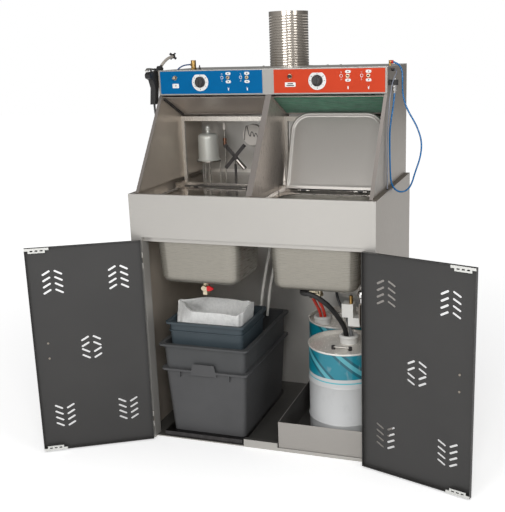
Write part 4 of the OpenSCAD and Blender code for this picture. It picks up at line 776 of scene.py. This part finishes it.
# Drums
# Two steel drums of about twenty litres in the spill tray: rolled hoops, a bare recessed lid with a rolled
# chime, a white plastic neck ring and a strap handle. The wall is lacquered white with a teal band above, in
# plain fields.
def drum_lacquer(name, top):
    """Lacquered drum wall by height: white below, a thin line, a teal band with slanting fields above."""
    band_h, line_top, line_foot, blur, edge_r = 0.098, 0.012, 0.017, 0.0008, 0.002
    made, tree, shader = new_finish(name)
    place = add(tree, "TexCoord").outputs["Object"]
    parts = add(tree, "SeparateXYZ", Vector=place).outputs
    # The white lacquer is given as a light grey: painted shade, for the drums stand in the cabinet's shade.
    white, teal = srgb(194, 195, 195), srgb(0, 122, 140)
    pale, deep = srgb(92, 178, 190), srgb(12, 88, 104)
    wave = add(tree, "Math", ("operation", "MULTIPLY_ADD"), n0=parts[0], n1=0.9, n2=parts[2])
    band = add(tree, "TexWave", Vector=add(tree, "CombineXYZ", n0=wave.outputs[0]).outputs[0], Scale=2.6)
    field = mixed(tree, span(tree, band.outputs[1], 0, 1, 0.70, 0.72), teal, deep)
    field = mixed(tree, span(tree, band.outputs[1], 0, 0.8, 0.93, 0.95), field, pale)
    edge = top - band_h
    upper = span(tree, parts[2], 0, 1, edge, edge + blur)
    below_top = span(tree, parts[2], 1, 0, edge - line_top, edge - line_top + blur)
    over_foot = span(tree, parts[2], 0, 1, edge - line_foot, edge - line_foot + blur)
    strip = add(tree, "Math", ("operation", "MULTIPLY"), n0=below_top, n1=over_foot).outputs[0]
    lower = mixed(tree, strip, white, pale)
    paint = mixed(tree, upper, lower, field)
    rubs = span(tree, cloud(tree, 40.0, (1, 1, 0.4), 5), 0, 0.35, 0.58, 0.75)
    scuff = mixed(tree, rubs, paint, srgb(176, 178, 178))
    worn = mixed(tree, worn_edge(tree, edge_r), scuff, srgb(190, 190, 188))
    peel = cloud(tree, 500.0, detail=1)
    feed(tree, shader, Base_Color=worn, Roughness=span(tree, peel, 0.28, 0.36), Coat_Weight=0.2,
        Normal=bumped(tree, peel, 0.05, 0.0003, rounded_normal(tree, edge_r)))
    return made


drum_lid_steel = brushed_sheet("drum_lid_steel", srgb(236, 232, 225), 0.24, (50, 3, 50), 0.3)
neck_white = moulded("neck_white", srgb(224, 223, 219), 0.45, 350.0, 0.06, 0.03)
drum_top, lid_z, lid_skin = 0.394, 0.380, 0.0002
for drum, mid, neck, strap_y in (("front_drum", (0.302, -0.158), (0.308, -0.124), -0.208),
        ("rear_drum", (0.222, 0.118), (0.156, 0.068), 0.164)):

    def in_neck(m):
        """The ring round the drum's neck."""
        neck_r = 0.0368
        return (np.hypot(m[:, 0] - neck[0], m[:, 1] - neck[1]) < neck_r) & (m[:, 2] > lid_z + lid_skin)

    def in_strap(m):
        """The strap handle with its two end brackets."""
        half_l, half_w = 0.0385, 0.0072
        near = (np.abs(m[:, 0] - mid[0]) < half_l) & (np.abs(m[:, 1] - strap_y) < half_w)
        return near & (m[:, 2] > lid_z + lid_skin)

    def in_strap_ends(m):
        """The end brackets alone."""
        bow_half = 0.0235
        return in_strap(m) & (np.abs(m[:, 0] - mid[0]) > bow_half)

    def in_lid(m):
        """The bare lid: its rolled chime and its recessed flat."""
        chime_r, chime_h, flat_r, flat_t = 0.120, 0.009, 0.1305, 0.0005
        far = np.hypot(m[:, 0] - mid[0], m[:, 1] - mid[1])
        rim = (far > chime_r) & (m[:, 2] > drum_top - chime_h)
        flat = (far < flat_r) & (m[:, 2] > lid_z - flat_t)
        return (rim | flat) & ~in_neck(m) & ~in_strap(m)

    parted(drum, (drum + "_neck", in_neck, neck_white, "pump_white"),
        (drum + "_strap", lambda m: in_strap(m) & ~in_strap_ends(m), drum_lid_steel, "stainless"),
        (drum + "_strap_ends", in_strap_ends, dark_metal, "dark_metal"),
        (drum + "_lid", in_lid, drum_lid_steel, "stainless"),
        rest=(drum + "_wall", drum_lacquer(drum + "_lacquer", drum_top), "drum_paint"))


# Hoses
# Plastic and rubber hoses on the hood and in the cabinet, each one smooth curve through given points.
# They hang free between their ends, and the clear ones end bare.
front_y, hood_x, hood_top = -0.320, 0.434, 1.363


def on_hood(side, points):
    """Points given in mm out from a hood side, behind the front sheet and above the hood top."""
    out, back, rise = np.array(points).T / 1000
    return np.c_[side * (hood_x + out), front_y + back, hood_top + rise]


def in_cabinet(low, high, points):
    """Points given as X and depth in mm and the share of the way up between two heights."""
    x, back, share = np.array(points).T
    return np.c_[x / 1000, front_y + back / 1000, low + (high - low) * share]


def tube_finish(name, tint, rough, clear=0.0):
    """Extruded tube: a slight draw along its length, soft gloss, and some light through a clear one."""
    made, tree, shader = new_finish(name)
    draw = cloud(tree, 200.0, (1, 1, 0.2), 2)
    feed(tree, shader, Base_Color=mottled(tree, tint, 30.0, 0.9, 1.08), Transmission_Weight=clear, IOR=1.42,
        Roughness=span(tree, cloud(tree, 80.0), rough - 0.05, rough + 0.07),
        Normal=bumped(tree, draw, 0.05, 0.0003))
    return made


def eased(points):
    """Evenly spaced points along the given ones, each moved towards the middle of its neighbours round
    after round so that corners open. The two points at each end stay, and every few points one is kept."""
    gap, rounds, fewest, most = 0.005, 30, 16, 36
    run = np.r_[0, np.cumsum(np.linalg.norm(np.diff(points, axis=0), axis=1))]
    count = max(int(run[-1] / gap), fewest)
    even = np.stack([np.interp(np.linspace(0, run[-1], count), run, column) for column in points.T], 1)
    for _ in range(rounds):
        even[2:-2] += 0.5 * ((even[1:-3] + even[3:-1]) / 2 - even[2:-2])
    keep = np.unique(np.linspace(0, count - 1, min(count, most)).round().astype(int))
    return even[keep]


def hose(name, points, radius, finish, node):
    """Hose as one smooth curve along its eased points."""
    points = eased(points)
    curve = bpy.data.curves.new(name, "CURVE")
    curve.dimensions = "3D"
    curve.bevel_depth = radius
    curve.bevel_resolution = 5
    curve.resolution_u = 10
    curve.use_fill_caps = True
    spline = curve.splines.new("BEZIER")
    spline.bezier_points.add(len(points) - 1)
    spline.bezier_points.foreach_set("co", points.ravel())
    for knot in spline.bezier_points:
        knot.handle_left_type = knot.handle_right_type = "AUTO"
    curve.materials.append(finish)
    made = bpy.data.objects.new(name, curve)
    bpy.context.scene.collection.objects.link(made)
    bpy.context.view_layer.update()
    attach(made, "cabinet")
    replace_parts(made, node)


blue_tube = tube_finish("blue_tube", srgb(8, 104, 164), 0.16)
navy_tube = tube_finish("navy_tube", srgb(16, 62, 112), 0.30)
grey_tube = tube_finish("grey_tube", srgb(128, 132, 144), 0.34)
red_tube = tube_finish("red_tube", srgb(214, 62, 48), 0.34)
dark_tube = tube_finish("dark_tube", srgb(66, 66, 68), 0.40)
suction_tube = tube_finish("suction_tube", srgb(120, 121, 122), 0.38)
clear_tube = tube_finish("clear_tube", srgb(226, 224, 217), 0.20, 0.2)
hose("blue_air_hose", on_hood(1, [[2, 360, 13], [12, 360, 12], [24, 359, 7], [33, 357, -4], [37, 354, -20],
    [36, 350, -60], [38, 345, -104], [56, 338, -152], [92, 329, -206], [113, 322, -263], [108, 316, -320],
    [90, 311, -370], [82, 308, -404], [77, 306, -422], [64, 303, -438], [45, 299, -443], [26, 295, -438],
    [14, 290, -422], [9, 284, -400], [9, 272, -340], [9, 264, -270], [9, 264, -210], [16, 284, -140],
    [19, 295, -106], [19, 295, -91]]), 0.003, blue_tube, "blue_hose")
hose("blue_stub_tube", on_hood(-1, [[-103, 336, 18], [-90, 335, 18.5], [-72, 332, 17], [-59, 328, 10],
    [-54, 326, 0]]), 0.0025, navy_tube, "blue_hose")
hose("grey_air_tube", on_hood(1, [[10, 340, -13], [15, 340, -13], [25, 326, -18], [17, 274, -44],
    [9, 258, -112], [6, 242, -230], [7, 234, -390], [7, 234, -418]]), 0.002, grey_tube, "grey_hose")
hose("blow_gun_hose", on_hood(-1, [[18, 256, -123], [18, 256, -141], [18, 260, -172], [16, 284, -206],
    [13, 330, -216], [11, 374, -194], [10, 398, -173], [10, 414, -173]]), 0.004, dark_tube, "gun_hose")
neck_z, hose_top = 0.378, 0.892
hose("red_hose_left", in_cabinet(neck_z, hose_top, [[150, 388, 0], [149, 387, 0.08], [134, 383, 0.14],
    [100, 371, 0.28], [80, 366, 0.42], [80, 366, 0.7], [80, 366, 1]]), 0.006, red_tube, "red_hoses")
hose("red_hose_right", in_cabinet(neck_z, hose_top, [[166, 388, 0], [165, 389, 0.08], [134, 394, 0.2],
    [97, 394, 0.31], [84, 394, 0.45], [84, 394, 0.7], [84, 394, 1]]), 0.006, red_tube, "red_hoses")
hose("black_drain_hose", in_cabinet(neck_z, 0.592, [[186, 78, 1], [194, 78, 1], [216, 78, 0.97],
    [244, 84, 0.88], [266, 101, 0.75], [281, 128, 0.58], [292, 161, 0.4], [298, 182, 0.27], [300, 191, 0.16],
    [300, 191, 0]]), 0.009, hose_rubber, "drum_hoses")
hose("suction_hose", in_cabinet(neck_z, 0.490, [[308, 178, 1], [308, 178, 0.9], [308, 181, 0.74],
    [315, 193, 0.5], [319, 197, 0.3], [319, 197, 0]]), 0.007, suction_tube, "drum_hoses")
hose("delivery_hose", in_cabinet(0.506, hose_top, [[294, 188, 0], [284, 188, 0], [262, 208, 0.1],
    [240, 262, 0.24], [228, 320, 0.42], [226, 334, 0.66], [226, 334, 1]]), 0.005, dark_tube, "drum_hoses")
clear_low, clear_high = 0.3944, 0.900
hose("clear_hose_left", in_cabinet(clear_low, clear_high, [[-14, 330, 1], [-14, 330, 0.8], [-36, 322, 0.56],
    [-72, 334, 0.24], [-97, 360, 0]]), 0.006, clear_tube, "clear_hoses")
hose("clear_hose_right", in_cabinet(clear_low, clear_high, [[10, 350, 1], [10, 350, 0.8], [-12, 346, 0.56],
    [-52, 362, 0.24], [-74, 382, 0]]), 0.006, clear_tube, "clear_hoses")


# Air kit on the hood
# A brass valve, a brass elbow with a red push-in collar, a pointed post, bulkheads and grommets. Black clips
# hold a bright quick coupling on the right and the blow gun on the left. The gun is moulded plastic with an
# alloy nozzle and thumb lever.
collar_x, on_top = 0.4295, hood_top - 0.0005


def brass_fittings(m):
    """The valve on the left of the hood top, and the elbow on its right up to the red collar."""
    valve_side, elbow_side = -0.300, 0.40
    left_valve = (m[:, 0] < valve_side) & (m[:, 2] > on_top)
    right_elbow = (m[:, 0] > elbow_side) & (m[:, 0] < collar_x) & (m[:, 2] > on_top)
    return left_valve | right_elbow


def red_collar(m):
    """The collar at the end of the elbow."""
    return (m[:, 0] >= collar_x) & (m[:, 2] > on_top)


def nozzle_tube(m):
    """The bent tube between the gun's nose and its star: how far a point lies along their line."""
    nose, star, gun_x = np.array([0.002, 1.371]), np.array([0.116, 1.411]), -0.452
    nose_l, star_gap, half_w = 0.011, 0.0005, 0.0062
    run = np.linalg.norm(star - nose)
    along = (m[:, 1:] - nose) @ (star - nose) / run
    return (along > nose_l) & (along < run - star_gap) & (np.abs(m[:, 0] - gun_x) < half_w)


parted("air_fittings", ("brass_fittings", brass_fittings, brass, "brass"),
    ("red_collar", red_collar, red_plastic, "red_plastic"),
    rest=("dark_fittings", dark_metal, "dark_metal"))
alloy = small_metal("alloy", srgb(188, 186, 180), 0.32)
nozzle_metal = brushed_sheet("nozzle_metal", srgb(196, 188, 178), 0.35, (60, 8, 8), 0.3)
dress(black_plastic, "tool_clips")
dress(chrome, "air_tool")
dress(alloy, "gun_lever")
parted("blow_gun", ("gun_nozzle", nozzle_tube, nozzle_metal, "bright_chrome"),
    rest=("gun_body", black_plastic, "black_plastic"))


# Doors
# Two folded pans of 2 mm sheet in dark grey powder coat, pierced with five groups of slanted slots. Each has
# stainless hinge leaves, a bow handle outside and pale slotted catch plates across its free corners.
def powder_coat(name, tint):
    """Powder coat: fine pebbled bump, dull gloss, dusty patches, and bare metal rubbed through at edges."""
    made, tree, shader = new_finish(name)
    dust = mottled(tree, tint, 5.0, 0.92, 1.10, 5)
    rubbed = mixed(tree, span(tree, cloud(tree, 45.0), 0, 0.8, 0.45, 0.7), dust, srgb(120, 117, 113))
    edge = mixed(tree, worn_edge(tree, 0.0016), dust, rubbed)
    pebble = cloud(tree, 1300.0, detail=1)
    feed(tree, shader, Base_Color=edge, Roughness=span(tree, pebble, 0.46, 0.56),
        Normal=bumped(tree, pebble, 0.18, 0.0003, rounded_normal(tree, 0.0012)))
    return made


door_paint = powder_coat("door_paint", srgb(48, 47, 46))
catch_white = moulded("catch_white", srgb(222, 222, 218), 0.42, 400.0, 0.05, 0.03)
hinge_x, hinge_y = 0.408, -0.324
for door, side, swing in (("left_door", -1, 150), ("right_door", 1, 162)):

    def closed(m):
        """The same points with the door shut, mirrored to the left, from its hinge axis and the floor."""
        turn = np.radians(swing)
        x = side * -m[:, 0] + hinge_x
        y = m[:, 1] - hinge_y
        return np.c_[x * np.cos(turn) - y * np.sin(turn), x * np.sin(turn) + y * np.cos(turn), m[:, 2]]

    def catches(m):
        """The catch plates, which stand behind the folded edge of the pan."""
        pan_back = 0.0181
        return closed(m)[:, 1] > pan_back

    def hardware(m):
        """The hinge leaves and the bow handle in front of the pan, and the handle's bolt ends behind it."""
        pan_front, bolt_from, bolt_to = 0.0039, 0.0061, 0.012
        handle_x, handle_z, half_w, half_h = 0.355, 0.392, 0.012, 0.036
        x, y, z = closed(m).T
        near = (np.abs(x - handle_x) < half_w) & (np.abs(z - handle_z) < half_h)
        return (y < pan_front) | (near & (y > bolt_from) & (y < bolt_to))

    parted(door, (door + "_catches", catches, catch_white, "pump_white"),
        (door + "_hardware", hardware, shaded_brushed_upright, "stainless"),
        rest=(door + "_pan", door_paint, "door_paint"))


# Lids
# One pressed lid behind each basin: stainless with a rolled bead round its free edges, dull outside and
# bright inside, pinned to the hinge rail by two knuckles. The water lid lies open over its basin, and the
# solvent lid is shut.
def pressed_lid(name, node, side, turn):
    """Lid: rings drawn in from its outline and raised along the profile of the bead, closed by the flat
    middle, turned on the hinge. The bead dies out towards the hinge edge, which has square corners."""
    width, length, corner, base, flat, sheet = 0.360, 0.298, 0.072, 0.006, 0.0020, 0.0012
    bead_fade, lean, knuckle_l = 0.025, 21, 0.0059
    inset = np.array([0, 0.1, 1.0, 2.4, 4.2, 6.0, 8.2, 10.0, 11.8, 13.6, 15.6, 18.0, 21.0]) / 1000
    lift = np.array([-1.5, 2.0, 4.0, 5.6, 6.5, 6.8, 6.5, 5.7, 4.3, 3.1, 2.3, 2.0, 2.0]) / 1000
    half = (length - base) / 2
    rings = rounded_ring(width / 2 - inset, half - inset, corner - inset)
    at_hinge = rings[..., 1] < corner - half + 1e-6
    rings[..., 0] = np.where(at_hinge, np.sign(rings[..., 0]) * (width / 2 - inset[:, None]), rings[..., 0])
    along = rings[..., 1] + half + base
    rise = flat + (lift[:, None] - flat) * np.clip((along - base) / bead_fade, 0, 1)
    angle = np.radians(turn - lean)
    hinge = (side * 0.218, -0.002, 0.917)
    grid = np.dstack([hinge[0] + rings[..., 0], hinge[1] - rise * np.cos(angle) - along * np.sin(angle),
        hinge[2] - rise * np.sin(angle) + along * np.cos(angle)])
    body = frame["nodes"][node]["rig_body"]
    made = skin(name, grid, outer_steel, body, closed=(-1,), turn=60, wall=sheet)
    made.data.materials.append(inner_steel)
    made.modifiers["wall"].material_offset = 1
    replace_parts(made, node)

    def knuckles(m):
        """The knuckles round the hinge pin, up to where the sheet begins."""
        return (m[:, 2] - hinge[2]) * np.cos(angle) - (m[:, 1] - hinge[1]) * np.sin(angle) < knuckle_l

    taken_from(node, name + "_knuckles", knuckles, dark_metal)


outer_steel = brushed_sheet("outer_steel", srgb(160, 156, 151), 0.34, (60, 4, 4), 0.6)
inner_steel = brushed_sheet("inner_steel", srgb(160, 153, 147), 0.14, (60, 4, 4), 0.95)
pressed_lid("water_lid_sheet", "water_lid", -1, 111)
pressed_lid("solvent_lid_sheet", "solvent_lid", 1, 0)


# Tubs, tray and filter bag
# Two dark moulded tubs stand on a sheet sled, one in the other's rim. In the upper one stands a blue-grey
# tray with the felt filter bag. The bag is thick needled felt, sewn from a wall and a floor, and its open
# edge sags and waves.
tub_plastic = moulded("tub_plastic", srgb(80, 80, 81), 0.46, 380.0, 0.16)
tub_dark = moulded("tub_dark", srgb(74, 75, 76), 0.44, 380.0, 0.16)
tray_plastic = moulded("tray_plastic", srgb(63, 73, 79), 0.40, 380.0, 0.12)
dress(dark_metal, "tub_sled")
dress(tub_plastic, "lower_tub")
dress(tub_dark, "upper_tub")
dress(tray_plastic, "filter_tray")


def felt_finish(name, tint):
    """Needled felt: soft fibres as stretched noise two ways, small pits, a pale sheen and no gloss."""
    made, tree, shader = new_finish(name)
    fibres = cloud(tree, 260.0, (1, 1, 0.3), 4)
    pits = cloud(tree, 90.0, detail=5)
    tone = mixed(tree, span(tree, pits, 0, 1), shade(tint, 0.82), tint)
    fuzzy = mixed(tree, span(tree, fibres, 0, 0.4), tone, shade(tint, 1.12))
    feed(tree, shader, Base_Color=fuzzy, Roughness=0.95, Sheen_Weight=0.3,
        Normal=bumped(tree, fibres, 0.5, 0.001, bumped(tree, pits, 0.45, 0.002)))
    return made


def smooth(value):
    """Eased step from 0 to 1."""
    value = np.clip(value, 0, 1)
    return value * value * (3 - 2 * value)


felt = felt_finish("felt", srgb(224, 224, 222))
bag_low, bag_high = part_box("filter_bag")
bag_mid = (bag_low + bag_high) / 2
bag_up = np.linspace(0, 1, 48)[:, None]
bag_turn = np.linspace(0, 2 * np.pi, 240, endpoint=False)
bag_power = 2 / 5.5
bag_gap_w, bag_taper_w, bag_gap_l, bag_taper_l, bag_wall = 0.003, 0.009, 0.006, 0.004, 0.005
free_from, free_run = 0.70, 0.30
pinch_from, pinch_run, pinch_shut, pinch_out, pinch_back = 0.050, 0.085, 0.90, 0.016, 0.012
bag_w = (bag_high.x - bag_low.x) / 2 - bag_gap_w - bag_taper_w * (1 - bag_up)
bag_l = (bag_high.y - bag_low.y) / 2 - bag_gap_l - bag_taper_l * (1 - bag_up)
bag_x = bag_w * np.sign(np.cos(bag_turn)) * np.abs(np.cos(bag_turn)) ** bag_power
bag_y = bag_l * np.sign(np.sin(bag_turn)) * np.abs(np.sin(bag_turn)) ** bag_power
bag_free = smooth((bag_up - free_from) / free_run)
pinch = bag_free * smooth((-bag_x - pinch_from) / pinch_run)
bag_fold = 0.0022 * np.sin(5 * bag_turn + 6 * bag_up) + 0.0016 * np.sin(11 * bag_turn - 3 * bag_up)
rim_drop = 0.006 + 0.007 * smooth(-bag_y / 0.08) * (1 - smooth((-bag_x - 0.09) / 0.04))
rim_wave = 0.0026 * np.sin(3 * bag_turn + 1.1) + 0.0018 * np.sin(8 * bag_turn)
bag_cut_h = bag_high.z - bag_low.z
bag_z = bag_low.z + (bag_cut_h - bag_free * (rim_drop - rim_wave) * (1 - 0.8 * pinch)) * bag_up
bag_grid = np.dstack([bag_mid.x + bag_x * (1 + bag_fold / 0.14) - pinch_out * pinch,
    bag_mid.y + (bag_y * (1 - pinch_shut * pinch) + pinch_back * pinch) * (1 + bag_fold / 0.09), bag_z])
bag = skin("felt_bag", bag_grid, felt, "tub_stack", closed=(0,), turn=100, wall=bag_wall)
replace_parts(bag, "filter_bag")
